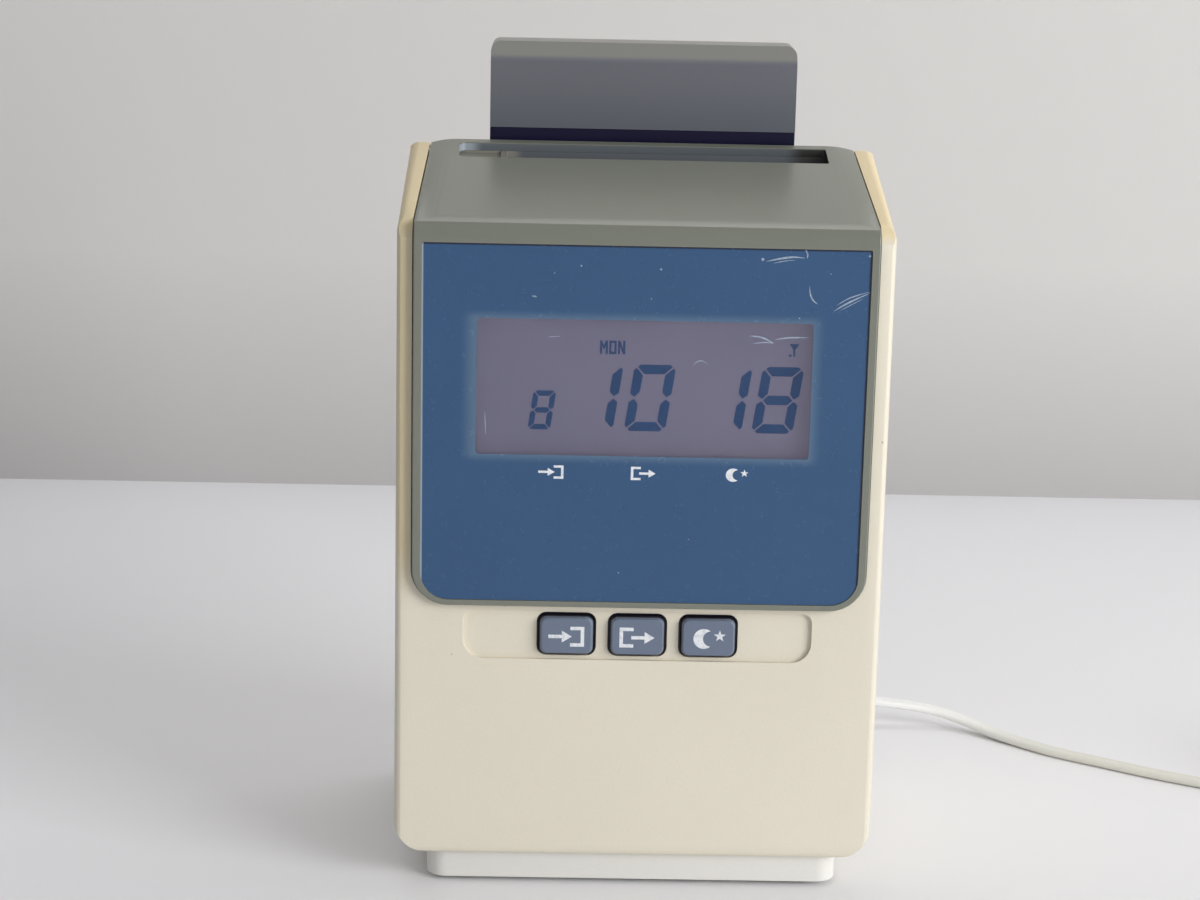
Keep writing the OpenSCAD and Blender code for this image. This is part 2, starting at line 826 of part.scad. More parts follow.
module shaft_bushes() {
    color("#B08D57") both_sides() for (p = [[screw_y, shaft_z], [feed_y, feed_z]]) difference() {
        union() {
            bar_x(plate_in - bush_flange, plate_x + bush_proud, p.x, p.y, bush_r);
            bar_x(plate_in - bush_flange, plate_in, p.x, p.y, bush_r + bush_lip);
        }
        bar_x(plate_in - bush_flange - past, plate_x + bush_proud + past, p.x, p.y, shaft_r + run_gap);
    }
}

// Gears

function inv_deg(a) = tan(a) * 180 / PI - a;

// Half the angle that a tooth takes up at a radius
function tooth_half(teeth, r) = let(pitch_r = gear_m * teeth / 2, base_r = pitch_r * cos(gear_pa))
    90 / teeth + inv_deg(gear_pa) - (r > base_r ? inv_deg(acos(base_r / r)) : 0)
    - gear_play / pitch_r * 180 / PI;

function gear_outline(teeth) = let(
    pitch_r = gear_m * teeth / 2,
    root_r = pitch_r - 1.15 * gear_m,
    tip_r = pitch_r + 0.85 * gear_m,
    flank_r = max(root_r + 0.05, pitch_r * cos(gear_pa)),
    radii = [root_r, flank_r, (flank_r + tip_r) / 2, tip_r])
    [for (i = [0 : teeth - 1], side = [-1, 1], k = [0 : 3])
        let(r = radii[side < 0 ? k : 3 - k], a = 360 * i / teeth + side * tooth_half(teeth, r))
        r * [cos(a), sin(a)]];

// A gear with a tooth pointing at an angle, on the outer side of the right plate
module gear(teeth, angle, bore) {
    difference() {
        along_x(gear_x, gear_x + gear_w) rotate(angle) polygon(gear_outline(teeth));
        bar_x(gear_x - past, gear_x + gear_w + past, 0, 0, bore);
    }
}

module pinion(angle) {
    along_x(gear_x, gear_x + gear_w) rotate(angle) polygon(gear_outline(pinion_teeth));
    bar_x(plate_in - motor_shaft_in + 2, gear_x + gear_w, 0, 0, motor_shaft_r);
}

// Carriage drive

module head_carriage() {
    color(black) difference() {
        along_x(-carriage_w / 2, carriage_w / 2) polygon(round_box(
            screw_y - 6, carriage_low, guide_y + 6, carriage_top, [2, 2, 2, 2], 4));
        bar_x(-carriage_w, carriage_w, guide_y, shaft_z, shaft_r + run_gap);
        bar_x(-carriage_w, carriage_w, screw_y, shaft_z, shaft_r + run_gap);
        block([-carriage_w / 2 + 4, screw_y + 5, carriage_low - past],
              [carriage_w / 2 - 4, guide_y - 5, carriage_top - 3]);
    }
}

module print_head() {
    fin_pitch = 2.5;
    color("#55585C") {
        difference() {
            block([-head_w / 2, head_front, carriage_top], [head_w / 2, head_back, print_z + 7]);
            for (i = [0 : 3]) block([-head_w / 2 - past, head_front - past, carriage_top + 3 + i * fin_pitch],
                                    [head_w / 2 + past, head_front + 4, carriage_top + 4.2 + i * fin_pitch]);
        }
        along_x(-3, 3) polygon([
            [head_back - eps, print_z - 5], [nose_tip, print_z - 3],
            [nose_tip, print_z + 3], [head_back - eps, print_z + 5]]);
    }
}

module drive_screw() {
    color(steel) bar_x(-gear_x - gear_w, plate_x + bush_proud + shaft_end, screw_y, shaft_z, shaft_r);
}

module screw_gear() {
    color(off_white) mirror([1, 0, 0]) translate([0, screw_y, shaft_z])
        gear(screw_teeth, -90, shaft_r + eps);
}

module carriage_pinion() {
    color(off_white) mirror([1, 0, 0]) translate([0, screw_y, carriage_motor_z])
        pinion(90 + 180 / pinion_teeth);
}

// Card feed

feed_angle = atan2(feed_motor_z - feed_z, feed_motor_y - feed_y);

module feed_shaft() {
    color(steel) bar_x(-plate_x - bush_proud - shaft_end, gear_x + gear_w, feed_y, feed_z, shaft_r);
}

module feed_rollers() {
    color(black) roller_places() difference() {
        bar_x(0, roller_w, feed_y, feed_z, feed_r);
        bar_x(-past, roller_w + past, feed_y, feed_z, shaft_r + eps);
    }
}

module feed_gear() {
    color(off_white) translate([0, feed_y, feed_z]) gear(feed_teeth, feed_angle, shaft_r + eps);
}

module feed_pinion() {
    color(off_white) translate([0, feed_motor_y, feed_motor_z])
        pinion(feed_angle + 180 + 180 / pinion_teeth);
}

module pinch_shaft() {
    color(steel) bar_x(-plate_x - shaft_end, plate_x + bush_proud / 2, pinch_y, feed_z, pinch_shaft_r);
}

module pinch_rollers() {
    color(off_white) roller_places() difference() {
        bar_x(0, roller_w, pinch_y, feed_z, pinch_r);
        bar_x(-past, roller_w + past, pinch_y, feed_z, pinch_shaft_r + eps);
    }
}

// Ribbon

module ribbon_cassette() {
    color(black) difference() {
        union() {
            along_z(cassette_low, cassette_top) polygon(round_box(
                -cassette_half, plate_front + 0.5, cassette_half, cassette_back, [4, 4, 1, 1], 5));
            both_sides() along_z(cassette_low + 2, cassette_top - 2) polygon(concat(
                [[cassette_half - arm_w, cassette_back - past], [cassette_half, cassette_back - past]],
                arc([cassette_half - 2, ribbon_y - 1.5], 2, 0, 90, 4),
                arc([cassette_half - arm_w + 2, ribbon_y - 1.5], 2, 90, 180, 4)));
        }
        translate([knob_x, knob_y, cassette_top - 8]) cylinder(h = 8 + past, r = knob_pin_r + run_gap);
        along_z(cassette_top - 1, cassette_top + past) polygon(centred_box(-6, 24, 60, 12, 2));
    }
}

module ribbon_band() {
    reach = cassette_half - arm_w - seat_gap;
    color("#2B2450") block([-reach, ribbon_y, print_z - ribbon_h / 2],
                           [reach, ribbon_y + ribbon_t, print_z + ribbon_h / 2]);
}

module ribbon_knob() {
    color("#3F6EA8") translate([knob_x, knob_y, 0]) {
        translate([0, 0, cassette_top - 7]) cylinder(h = 8, r = knob_pin_r);
        along_z(cassette_top + 0.3, cassette_top + 4) polygon(
            [for (i = [0 : 47]) (knob_r - (i % 2) * 0.6) * [cos(i * 7.5), sin(i * 7.5)]]);
    }
}

// Cover

module cover_block() {
    intersection() {
        along_x(-cover_half, cover_half) polygon(wedge(-cover_proud, 0, bend_r, ridge_y, cover_low));
        along_y(-cover_proud - past, ridge_y + past) polygon(round_box(
            -cover_half, cover_low, cover_half, top_z(case_d) + 30, [corner_r, corner_r, 1, 1]));
        between_sides(cover_half, 0, crown(0));
    }
}

function pane_outline(inset) = let(r = corner_r - frame_w - inset) round_box(
    inset - pane_half, pane_low + inset, pane_half - inset, pane_top - inset, [r, r, 0.6, 0.6]);

module cover_shell() {
    color(grey) difference() {
        union() {
            difference() {
                cover_block();
                intersection() {
                    along_x(skirt_t - cover_half, cover_half - skirt_t) polygon(wedge(
                        frame_back, cover_t, bend_r - cover_t, ridge_y - skirt_t, cover_low - past));
                    along_y(frame_back - past, ridge_y) polygon(round_box(
                        skirt_t - cover_half, cover_low + skirt_t, cover_half - skirt_t,
                        top_z(case_d) + 30, [corner_r - skirt_t, corner_r - skirt_t, 1, 1]));
                    between_sides(cover_half - skirt_t, past, [[0, past]]);
                }
                along_x(-half_w, half_w) polygon(wedge(
                    skirt_deep - cover_proud, skirt_deep, bend_r, ridge_y + past, cover_low - past));
            }
            intersection() {
                cover_block();
                both_sides() bar_x(hinge_half - ear_w, cover_half, hinge_y, hinge_z, ear_r);
            }
        }
        along_y(-cover_proud - past, pane_back + seat_gap) polygon(pane_outline(-seat_gap));
        along_y(-cover_proud - past, frame_back + past) polygon(pane_outline(ledge));
        along_z(mouth_low, top_z(case_d) + past) polygon(round_box(
            -slot_w / 2, mouth_front, slot_w / 2, mouth_back, [slot_r, slot_far_r, slot_far_r, slot_r], 5));
        both_sides() bar_x(hinge_half - ear_w - past, cover_half + past, hinge_y, hinge_z, hinge_r + eps);
    }
}

module cover_pane() {
    color([0.8, 0.85, 0.9, 0.4]) along_y(pane_front, pane_back) polygon(pane_outline(0));
}

module panel_film() {
    color(film_blue) difference() {
        along_y(film_front, pane_front) polygon(pane_outline(0));
        along_y(film_front - past, pane_front + past) polygon(centred_box(0, view_z, view_w, view_h, 1, 3));
    }
}

module mouth_solid(grow, low) {
    high = top_z(case_d);
    polygon([[mouth_front - grow, high], [mouth_back + grow, high], [mouth_back + grow, top_z(mouth_back, cover_t)],
             [throat_back + grow, low], [throat_front - grow, low],
             [mouth_front - grow, top_z(mouth_front, cover_t)]]);
}

module card_mouth() {
    end = slot_w / 2;
    step_w = 2;
    step_h = 1;
    color("#6E7680") difference() {
        intersection() {
            along_x(-end - mouth_wall, end + mouth_wall) mouth_solid(mouth_wall, mouth_low);
            along_x(-half_w, half_w) polygon(wedge(frame_back, cover_t + eps, bend_r, ridge_y, 0));
        }
        along_x(throat_left, end) mouth_solid(0, mouth_low - eps);
        intersection() {
            along_x(-end, throat_left + eps) mouth_solid(0, mouth_low);
            difference() {
                block([-end, 0, mouth_low], [throat_left + eps, case_d, top_z(case_d)]);
                along_x(-half_w, half_w) polygon(wedge(frame_back, shelf_d, bend_r, case_d, 0));
                along_x(throat_left - step_w, throat_left)
                    polygon(wedge(frame_back, shelf_d - step_h, bend_r, case_d, 0));
            }
        }
    }
}

module hinge_pins() {
    color(steel) both_sides() bar_x(hinge_half - ear_w - 0.5, open_half + pin_deep - 0.3, hinge_y, hinge_z, hinge_r);
}

// Keys

module key_cap() {
    color(key_grey) {
        hull() {
            along_y(0.4, key_back) polygon(centred_box(0, 0, key_w, key_h, cap_round));
            along_y(cap_front, 0) polygon(centred_box(0, 0, key_w - 1, key_h - 1, cap_round));
        }
        along_y(wall + seat_gap, key_back) polygon(centred_box(
            0, 0, key_w + 2 * flange_over, key_h + 2 * flange_over, cap_round));
        bar_y(key_back - eps, stem_end, 0, 0, stem_r);
    }
}

module left_key() {
    translate([-key_pitch, 0, key_z]) key_cap();
}

module middle_key() {
    translate([0, 0, key_z]) key_cap();
}

module right_key() {
    translate([key_pitch, 0, key_z]) key_cap();
}

// Radio receiver

unit_top = unit_low + unit_h;
shell_low = unit_low + unit_base_h;

module unit_shell(profile, hollow) {
    difference() {
        intersection() {
            along_x(-unit_w / 2, unit_w / 2) polygon(profile);
            along_y(unit_y - past, unit_y + unit_d + past) polygon(round_box(
                -unit_w / 2, unit_low, unit_w / 2, unit_top, [1, 1, unit_corner_r, unit_corner_r], 6));
        }
        along_x(shell_t - unit_w / 2, unit_w / 2 - shell_t) polygon(hollow);
    }
}

module radio_front_shell() {
    color(grey) unit_shell(
        [[unit_y, shell_low], [unit_split, shell_low], [unit_split, unit_top],
         [unit_y + unit_chamfer.x, unit_top], [unit_y, unit_top - unit_chamfer.y]],
        [[unit_y + shell_t, shell_low - past], [unit_split + past, shell_low - past],
         [unit_split + past, unit_top - shell_t], [unit_y + unit_chamfer.x + 1, unit_top - shell_t],
         [unit_y + shell_t, unit_top - unit_chamfer.y - 0.6]]);
}

module radio_rear_shell() {
    back = unit_y + unit_d;
    color(grey) unit_shell(
        concat([[unit_split, unit_top], [unit_split, shell_low], [back, shell_low]],
               arc([back - 3, unit_top - 3], 3, 0, 90, 5)),
        [[unit_split - past, unit_top - shell_t], [unit_split - past, shell_low - past],
         [back - shell_t, shell_low - past], [back - shell_t, unit_top - 3], [back - 3, unit_top - shell_t]]);
}

module radio_base() {
    back = unit_y + unit_d;
    color("#1E1C30") unit_shell(
        [[unit_y, unit_low], [back, unit_low], [back, shell_low], [unit_y, shell_low]],
        [[unit_y + shell_t, unit_low + shell_t], [back - shell_t, unit_low + shell_t],
         [back - shell_t, shell_low + past], [unit_y + shell_t, shell_low + past]]);
}

module radio_board() {
    inner = unit_w / 2 - shell_t - seat_gap;
    color(board_green) block([-inner, unit_split + rod_r / 2, unit_low + shell_t],
                             [inner, unit_split + rod_r / 2 + board_t, unit_top - unit_chamfer.y - 2]);
}

module ferrite_rod() {
    color("#3A3A3E") bar_x(-34, 34, unit_split - rod_r / 2, shell_low + 10, rod_r);
}

// Cord, coil and plug

gland_neck_r = 4.2;
gland_r = gland_neck_r + 1.3;
gland_tip_r = cord_w / 2 + 0.6;
gland_ribs = 6;
rib_pitch = 3.6;
rib_w = 1.6;
rib_proud = 0.5;

module cord_gland() {
    rear = case_d - frame_shift;
    fall = (gland_r - gland_tip_r) / (gland_end - rear);
    color(off_white) {
        bar_y(rear - wall - 2, rear - wall, gland_x, gland_z, gland_r);
        bar_y(rear - wall - eps, rear + eps, gland_x, gland_z, gland_neck_r);
        translate([gland_x, rear, gland_z]) rotate([-90, 0, 0])
            cylinder(h = gland_end - rear, r1 = gland_r, r2 = gland_tip_r);
        for (i = [0 : gland_ribs - 1])
            bar_y(rear + i * rib_pitch, rear + i * rib_pitch + rib_w, gland_x, gland_z,
                  gland_r + rib_proud - i * rib_pitch * fall);
    }
}

function unit_vec(v) = v / norm(v);
function side_of(t) = unit_vec([-t.y, t.x, 0]);

// The points of a route, with more worked out between them on a smooth curve
function smoothed(p, n) = let(last = len(p) - 1) concat(
    [for (i = [0 : last - 1], k = [0 : n - 1]) let(
        u = k / n,
        a = p[max(i - 1, 0)], b = p[i], c = p[i + 1], d = p[min(i + 2, last)])
        0.5 * (2 * b + (c - a) * u + (2 * a - 5 * b + 4 * c - d) * u * u
        + (3 * b - a - 3 * c + d) * u * u * u)],
    [p[last]]);

function direction(p, i) = unit_vec(p[min(i + 1, len(p) - 1)] - p[max(i - 1, 0)]);

flat_8 = [[1, 0.4], [0.72, 1], [-0.72, 1], [-1, 0.4], [-1, -0.4], [-0.72, -1], [0.72, -1], [1, -0.4]];
flat_6 = [[1, 0], [0.7, 1], [-0.7, 1], [-1, 0], [-0.7, -1], [0.7, -1]];

// The cord's section at each point of a path, lying flat
function rings(path, section) = [for (i = [0 : len(path) - 1]) let(
    t = direction(path, i), side = side_of(t), up = cross(t, side))
    [for (s = section) path[i] + side * s.x * cord_w / 2 + up * s.y * cord_t / 2]];

module swept(path, section) {
    sweep = rings(path, section);
    n = len(section);
    last = (len(path) - 1) * n;
    polyhedron(
        points = [for (ring = sweep) each ring],
        faces = concat(
            [for (k = [1 : n - 2]) [0, k, k + 1]],
            [for (k = [1 : n - 2]) [last, last + k + 1, last + k]],
            [for (i = [0 : len(path) - 2], j = [0 : n - 1]) let(a = i * n, b = a + n, m = (j + 1) % n)
                each [[a + j, b + m, a + m], [a + j, b + j, b + m]]]));
}

function ramp(u) = u <= 0 ? 0 : u >= 1 ? 1 : u * u * (3 - 2 * u);

// A point of the coil after t turns: in and out again, and up a layer at each reversal
function coil_point(t) = let(
    round_trip = t % (2 * layer_turns),
    inward = min(round_trip, 2 * layer_turns - round_trip),
    r = coil_out_r - inward * coil_step,
    a = coil_from + 360 * t,
    climbed = ramp(2 * (t - layer_turns) + 0.5) + ramp(2 * (t - 2 * layer_turns) + 0.5)
        + ramp(2 * (t - 3 * layer_turns) + 0.5))
    [coil_centre.x + r * cos(a), coil_centre.y + r * sin(a),
     coil_lift + cord_t / 2 + layer_rise * climbed];

lead_dir = [-sin(coil_from), cos(coil_from), 0];
coil_in = coil_point(0) - cord_w * lead_dir;
coil_out = coil_point(coil_turns) + cord_w * lead_dir;
function coil_path() = concat(
    [coil_in], [for (i = [0 : coil_turns * rings_a_turn]) coil_point(i / rings_a_turn)], [coil_out]);

// The least distance between points of turns that lie side by side or on each other
function coil_gap() = let(sweep = rings(coil_path(), flat_6), last = len(sweep) - 1)
    min([for (i = [0 : last], turn = [1 : coil_turns], d = [-2 : 2])
        let(j = i + turn * rings_a_turn + d)
        if (j <= last) for (p = sweep[i], q = sweep[j]) norm(p - q)]);

module cord_lead() {
    color("white") swept(smoothed(concat(route, [coil_in]), 2), flat_8);
}

module cord_coil() {
    echo(least_gap_of_the_coil = coil_gap());
    color("white") swept(coil_path(), flat_6);
}

module coil_tie() {
    inner = coil_out_r - layer_turns * coil_step - cord_w / 2 + 2;
    outer = coil_out_r + cord_w / 2 + 0.2;
    top = coil_lift + 3 * layer_rise + cord_t + 0.3;
    color(black) translate([coil_centre.x, coil_centre.y, 0]) rotate(tie_at) difference() {
        block([inner - tie_t, -tie_w / 2, coil_lift - 0.1 - tie_t], [outer + tie_t, tie_w / 2, top + tie_t]);
        block([inner, -tie_w, coil_lift - 0.1], [outer, tie_w, top]);
    }
}

function tail_path() = concat([coil_out], [for (s = tail_steps)
    let(p = coil_out + s[0] * lead_dir) [p.x, p.y, plug_z + s[1] * (coil_out.z - plug_z)]]);
plug_at = tail_path()[len(tail_steps)];

module cord_tail() {
    color("white") swept(smoothed(tail_path(), 2), flat_8);
}

// The plug's own frame: x points from the cord to the blades
module plug_frame() {
    translate(plug_at) rotate(atan2(lead_dir.y, lead_dir.x)) children();
}

module plug_body() {
    half_h = plug_at.z - 0.1;
    color("white") plug_frame() {
        hull() {
            block([0, -cord_w / 2 - 0.8, -cord_t / 2 - 0.8], [0.2, cord_w / 2 + 0.8, cord_t / 2 + 0.8]);
            block([relief_l, -6, -4.5], [relief_l + 0.2, 6, 4.5]);
        }
        hull() {
            translate([relief_l, 0, 0]) rotate([90, 0, 90]) linear_extrude(0.2)
                polygon(centred_box(0, 0, plug_w - 8, 2 * half_h - 6, 3));
            translate([relief_l + 8, 0, 0]) rotate([90, 0, 90]) linear_extrude(plug_l - 8)
                polygon(centred_box(0, 0, plug_w, 2 * half_h, 4));
        }
    }
}

module plug_blades() {
    color(steel) plug_frame() for (s = [-1, 1]) translate([relief_l + plug_l, s * blade_pitch / 2, 0])
        difference() {
            rotate([90, 0, 0]) translate([0, 0, -blade_t / 2]) linear_extrude(blade_t) polygon([
                [0, -blade_w / 2], [blade_l - 2, -blade_w / 2], [blade_l, 1 - blade_w / 2],
                [blade_l, blade_w / 2 - 1], [blade_l - 2, blade_w / 2], [0, blade_w / 2]]);
            translate([blade_l - 5, -blade_t, 0]) rotate([-90, 0, 0]) cylinder(h = 2 * blade_t, r = 1.5);
        }
}

placed() front_case();
placed() rear_case();
placed() base_plinth();
placed() rubber_feet();
placed() case_screws();
placed() chassis_pan();
placed() left_plate();
placed() right_plate();
placed() card_guide_front();
placed() card_guide_rear();
placed() platen_strip();
placed() display_bracket();
placed() lcd_holder();
placed() lcd_glass();
placed() control_board();
placed() board_parts();
placed() backup_battery();
placed() transformer_core();
placed() transformer_coil();
placed() key_board();
placed() key_switches();
placed() carriage_motor();
placed() feed_motor();
placed() guide_shaft();
placed() shaft_bushes();
placed() ribbon_cassette();
placed() ribbon_band();
placed() cover_shell();
placed() cover_pane();
placed() panel_film();
placed() card_mouth();
placed() hinge_pins();
placed() left_key();
placed() middle_key();
placed() right_key();
placed() head_carriage();
placed() print_head();
placed() drive_screw();
placed() screw_gear();
placed() carriage_pinion();
placed() feed_shaft();
placed() feed_rollers();
placed() feed_gear();
placed() feed_pinion();
placed() pinch_shaft();
placed() pinch_rollers();
placed() ribbon_knob();
placed() radio_front_shell();
placed() radio_rear_shell();
placed() radio_base();
placed() radio_board();
placed() ferrite_rod();
cord_gland();
cord_lead();
cord_coil();
coil_tie();
cord_tail();
plug_body();
plug_blades();
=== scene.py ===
import json
from math import atan2, copysign, cos, pi, radians, sin

import bmesh
import bpy
from mathutils import Matrix, Vector


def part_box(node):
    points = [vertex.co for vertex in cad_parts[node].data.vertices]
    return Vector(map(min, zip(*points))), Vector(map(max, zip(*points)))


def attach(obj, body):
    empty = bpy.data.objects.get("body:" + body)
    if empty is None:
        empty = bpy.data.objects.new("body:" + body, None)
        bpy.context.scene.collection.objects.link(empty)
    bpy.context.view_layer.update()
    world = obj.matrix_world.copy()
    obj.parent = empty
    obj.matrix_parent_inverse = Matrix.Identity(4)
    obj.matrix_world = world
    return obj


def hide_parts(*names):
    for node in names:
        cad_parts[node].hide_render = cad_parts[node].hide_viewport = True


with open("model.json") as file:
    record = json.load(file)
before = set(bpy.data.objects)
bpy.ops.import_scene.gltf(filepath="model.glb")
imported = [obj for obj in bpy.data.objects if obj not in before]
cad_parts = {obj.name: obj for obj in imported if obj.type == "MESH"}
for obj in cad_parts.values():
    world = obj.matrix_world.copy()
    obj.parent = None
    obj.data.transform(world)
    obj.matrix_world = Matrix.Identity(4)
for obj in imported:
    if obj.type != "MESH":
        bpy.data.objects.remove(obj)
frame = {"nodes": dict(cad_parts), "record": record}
nodes = frame["nodes"]
scene = bpy.context.scene
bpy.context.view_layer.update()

# Camera
# A long lens 0.8 m in front of the recorder and a little above it, turned, tilted and rolled as the
# photograph was taken.
camera_place = (-0.0242, -0.8015, 0.319)
camera_pan, camera_tilt, camera_roll = -0.92, 90 - 13.745, 1.26
camera = bpy.data.objects.new("camera", bpy.data.cameras.new("camera"))
scene.collection.objects.link(camera)
camera.data.lens = 81
camera.data.sensor_width = 36
camera.matrix_world = (
    Matrix.Translation(camera_place)
    @ Matrix.Rotation(radians(camera_pan), 4, "Z")
    @ Matrix.Rotation(radians(camera_tilt), 4, "X")
    @ Matrix.Rotation(radians(camera_roll), 4, "Z")
)
scene.camera = camera
scene.view_settings.view_transform = "Standard"

# Light
# A soft daylight room: a large window to the right and a little in front, a lamp along the wall above and
# behind the table, and pale walls that are darker to the left.
lit_middle = Vector((0, 0, 0.11))


def soft_lamp(name, place, width, depth, power):
    """An oblong soft box that looks at the middle of the recorder."""
    data = bpy.data.lights.new(name, "AREA")
    data.shape = "RECTANGLE"
    data.size = width
    data.size_y = depth
    data.energy = power
    lamp = bpy.data.objects.new(name, data)
    scene.collection.objects.link(lamp)
    lamp.visible_camera = False
    lamp.location = place
    lamp.rotation_euler = (lit_middle - lamp.location).to_track_quat("-Z", "Y").to_euler()


def step(tree, kind, inputs=(), **settings):
    """One shader node with its settings, and a value or another socket in each named input."""
    node = tree.nodes.new("ShaderNode" + kind)
    for name, value in settings.items():
        setattr(node, name, value)
    for name, value in dict(inputs).items():
        if isinstance(value, bpy.types.NodeSocket):
            tree.links.new(value, node.inputs[name])
        else:
            node.inputs[name].default_value = value
    return node


def spread(value, low, high, least, most, course="LINEAR"):
    """A socket's value that goes from low to high, laid out from least to most."""
    ends = {"Value": value, "From Min": low, "From Max": high, "To Min": least, "To Max": most}
    return step(value.id_data, "MapRange", ends, interpolation_type=course).outputs[0]


def reckon(first, second, operation, third=0):
    """Two sockets, or a socket and a number, in one step of arithmetic."""
    return step(first.id_data, "Math", {0: first, 1: second, 2: third}, operation=operation).outputs[0]


soft_lamp("window_light", place=(1.7, -1.25, 0.75), width=1.25, depth=1.25, power=38.5)
soft_lamp("wall_light", place=(0, 0.26, 0.7), width=0.9, depth=0.14, power=0.75)
scene.world = bpy.data.worlds.new("room")
scene.world.use_nodes = True
tree = scene.world.node_tree
way = step(tree, "SeparateXYZ", {0: step(tree, "TexCoord").outputs["Generated"]}).outputs
sky = spread(way["Z"], -0.2, 1, 0.38, 0.54)
sides = spread(way["X"], -0.8, 0.8, 0.84, 1.14)
room = tree.nodes["Background"]
room.inputs["Color"].default_value = (0.88, 0.88, 0.91, 1)
tree.links.new(reckon(sky, sides, "MULTIPLY"), room.inputs["Strength"])


# Table and wall
# A white laminate table top with a pale painted wall behind it. They are the stage, not the object,
# and the wall is clear from behind so that the back of the recorder can be looked at.
def tone(red, green, blue):
    """A colour as it is seen, 0 to 255 a channel, in the renderer's linear light."""
    return [((c / 255 + 0.055) / 1.055) ** 2.4 for c in (red, green, blue)] + [1]


def new_finish(name, colour, roughness, more=()):
    """A material with plain values in its shader, ready for the nodes that vary it."""
    made = bpy.data.materials.new(name)
    made.use_nodes = True
    plain = {"Base Color": colour, "Roughness": roughness, **dict(more)}
    for socket, value in plain.items():
        made.node_tree.nodes["Principled BSDF"].inputs[socket].default_value = value
    return made


def vary(finish, socket, source):
    """Lets a socket of the finish's shader change over the surface."""
    tree = finish.node_tree
    tree.links.new(source, tree.nodes["Principled BSDF"].inputs[socket])


def blend(share, under, over):
    """One colour over another by a mask; a Mix node has its colours in sockets 6 and 7."""
    return step(share.id_data, "Mix", {0: share, 6: under, 7: over}, data_type="RGBA").outputs[2]


def tinted(finish, share, colour):
    """Lays a second colour over a finish where the mask is near 1."""
    base = finish.node_tree.nodes["Principled BSDF"].inputs["Base Color"]
    under = base.links[0].from_socket if base.links else base.default_value[:]
    vary(finish, "Base Color", blend(share, under, colour))


def on_piece(finish):
    """The socket of places on a piece, in its own coordinates."""
    return step(finish.node_tree, "TexCoord").outputs["Object"]


def spots(finish):
    """The sockets of X, Y and Z on a piece, for masks by place."""
    return step(finish.node_tree, "SeparateXYZ", {0: on_piece(finish)}).outputs


def cleared(finish, where):
    """Lets a finish go clear where a socket is 1."""
    tree = finish.node_tree
    solid = tree.nodes["Principled BSDF"].outputs[0]
    clear = step(tree, "BsdfTransparent").outputs[0]
    shown = step(tree, "MixShader", {0: where, 1: solid, 2: clear})
    tree.links.new(shown.outputs[0], tree.nodes["Material Output"].inputs["Surface"])


def flat_sheet(name, size, turn):
    """A square sheet of the stage."""
    mesh = bmesh.new()
    bmesh.ops.create_grid(mesh, x_segments=1, y_segments=1, size=size, matrix=turn)
    data = bpy.data.meshes.new(name)
    mesh.to_mesh(data)
    made = bpy.data.objects.new(name, data)
    scene.collection.objects.link(made)
    return made


table = flat_sheet("table", 4, Matrix.Identity(4))
laminate = new_finish("table_laminate", tone(241, 241, 243), 0.4)
mottle = step(laminate.node_tree, "TexNoise", {"Scale": 60, "Detail": 3})
vary(laminate, "Roughness", spread(mottle.outputs[0], 0, 1, 0.34, 0.46))
table.data.materials.append(laminate)

wall = flat_sheet("wall", 3, Matrix.Translation((0, 0.425, 1.5)) @ Matrix.Rotation(pi / 2, 4, "X"))
paint = new_finish("wall_paint", tone(181, 179, 178), 0.9)
# The wall is painted darker along its foot: painted shade where it meets the table
tinted(paint, spread(spots(paint)["Z"], 0, 0.11, 0, 1), tone(208, 206, 203))
cleared(paint, step(paint.node_tree, "NewGeometry").outputs["Backfacing"])
wall.data.materials.append(paint)

# Mains cord
# Flat white twin lead with two round cores in soft vinyl. It leaves the gland at the back, comes down
# to the table at the right, and the rest is wound into a coil that a tie holds, with the plug beside it.
route = [
    (45, 74, 18), (45, 78, 18), (46.8, 86.8, 17.4), (51.7, 94.3, 16.3), (59.2, 99.2, 14.8),
    (68, 101, 13), (80, 101.4, 10.6), (91, 101.4, 8.6), (101.7, 101.2, 7.4), (112.2, 99.8, 5.7),
    (122.3, 95.2, 3.4), (131.7, 87.2, 1.8), (146.8, 73.6, 1.4), (162, 63.4, 1.4),
    (177, 53.6, 1.4), (192, 45, 1.5), (200, 41, 1.8), (207.6, 36.7, 2.1), (217.9, 30.7, 2.1),
    (226.6, 25.7, 2.1),
]
cord_width = 5.2
cord_thick = 2.6
coil_centre = Vector((258.8, 47, 0))
coil_radius = 34.5
coil_step = 5.8
layer_rise = 3.4
coil_lift = 0.8
coil_from = 240
coil_turns = 8
turn_steps = 48
route_steps = 6
tail_steps = [(3, 1), (9, 0.75), (15, 0.25), (21, 0), (25, 0)]
plug_height = 9.8


def smoothed(points, count):
    """The points of a route, with more on the smooth curve between them."""
    points = [Vector(p) for p in points]
    last = len(points) - 1
    line = []
    for i in range(last):
        a, b = points[max(i - 1, 0)], points[i]
        c, d = points[i + 1], points[min(i + 2, last)]
        for k in range(count):
            u = k / count
            line.append(0.5 * (2 * b + (c - a) * u + (2 * a - 5 * b + 4 * c - d) * u ** 2
                               + (3 * b - a - 3 * c + d) * u ** 3))
    return line + [points[last]]


def climb(u):
    """A soft rise from 0 to 1."""
    u = min(max(u, 0), 1)
    return u * u * (3 - 2 * u)


def coil_point(turns):
    """Where the cord is after so many turns: in and out again, a layer higher at each reversal."""
    trip = turns % 4
    radius = coil_radius - min(trip, 4 - trip) * coil_step
    angle = radians(coil_from + 360 * turns)
    layers = sum(climb(2 * (turns - k) + 0.5) for k in (2, 4, 6))
    height = coil_lift + cord_thick / 2 + layer_rise * layers
    return coil_centre + Vector((radius * cos(angle), radius * sin(angle), height))


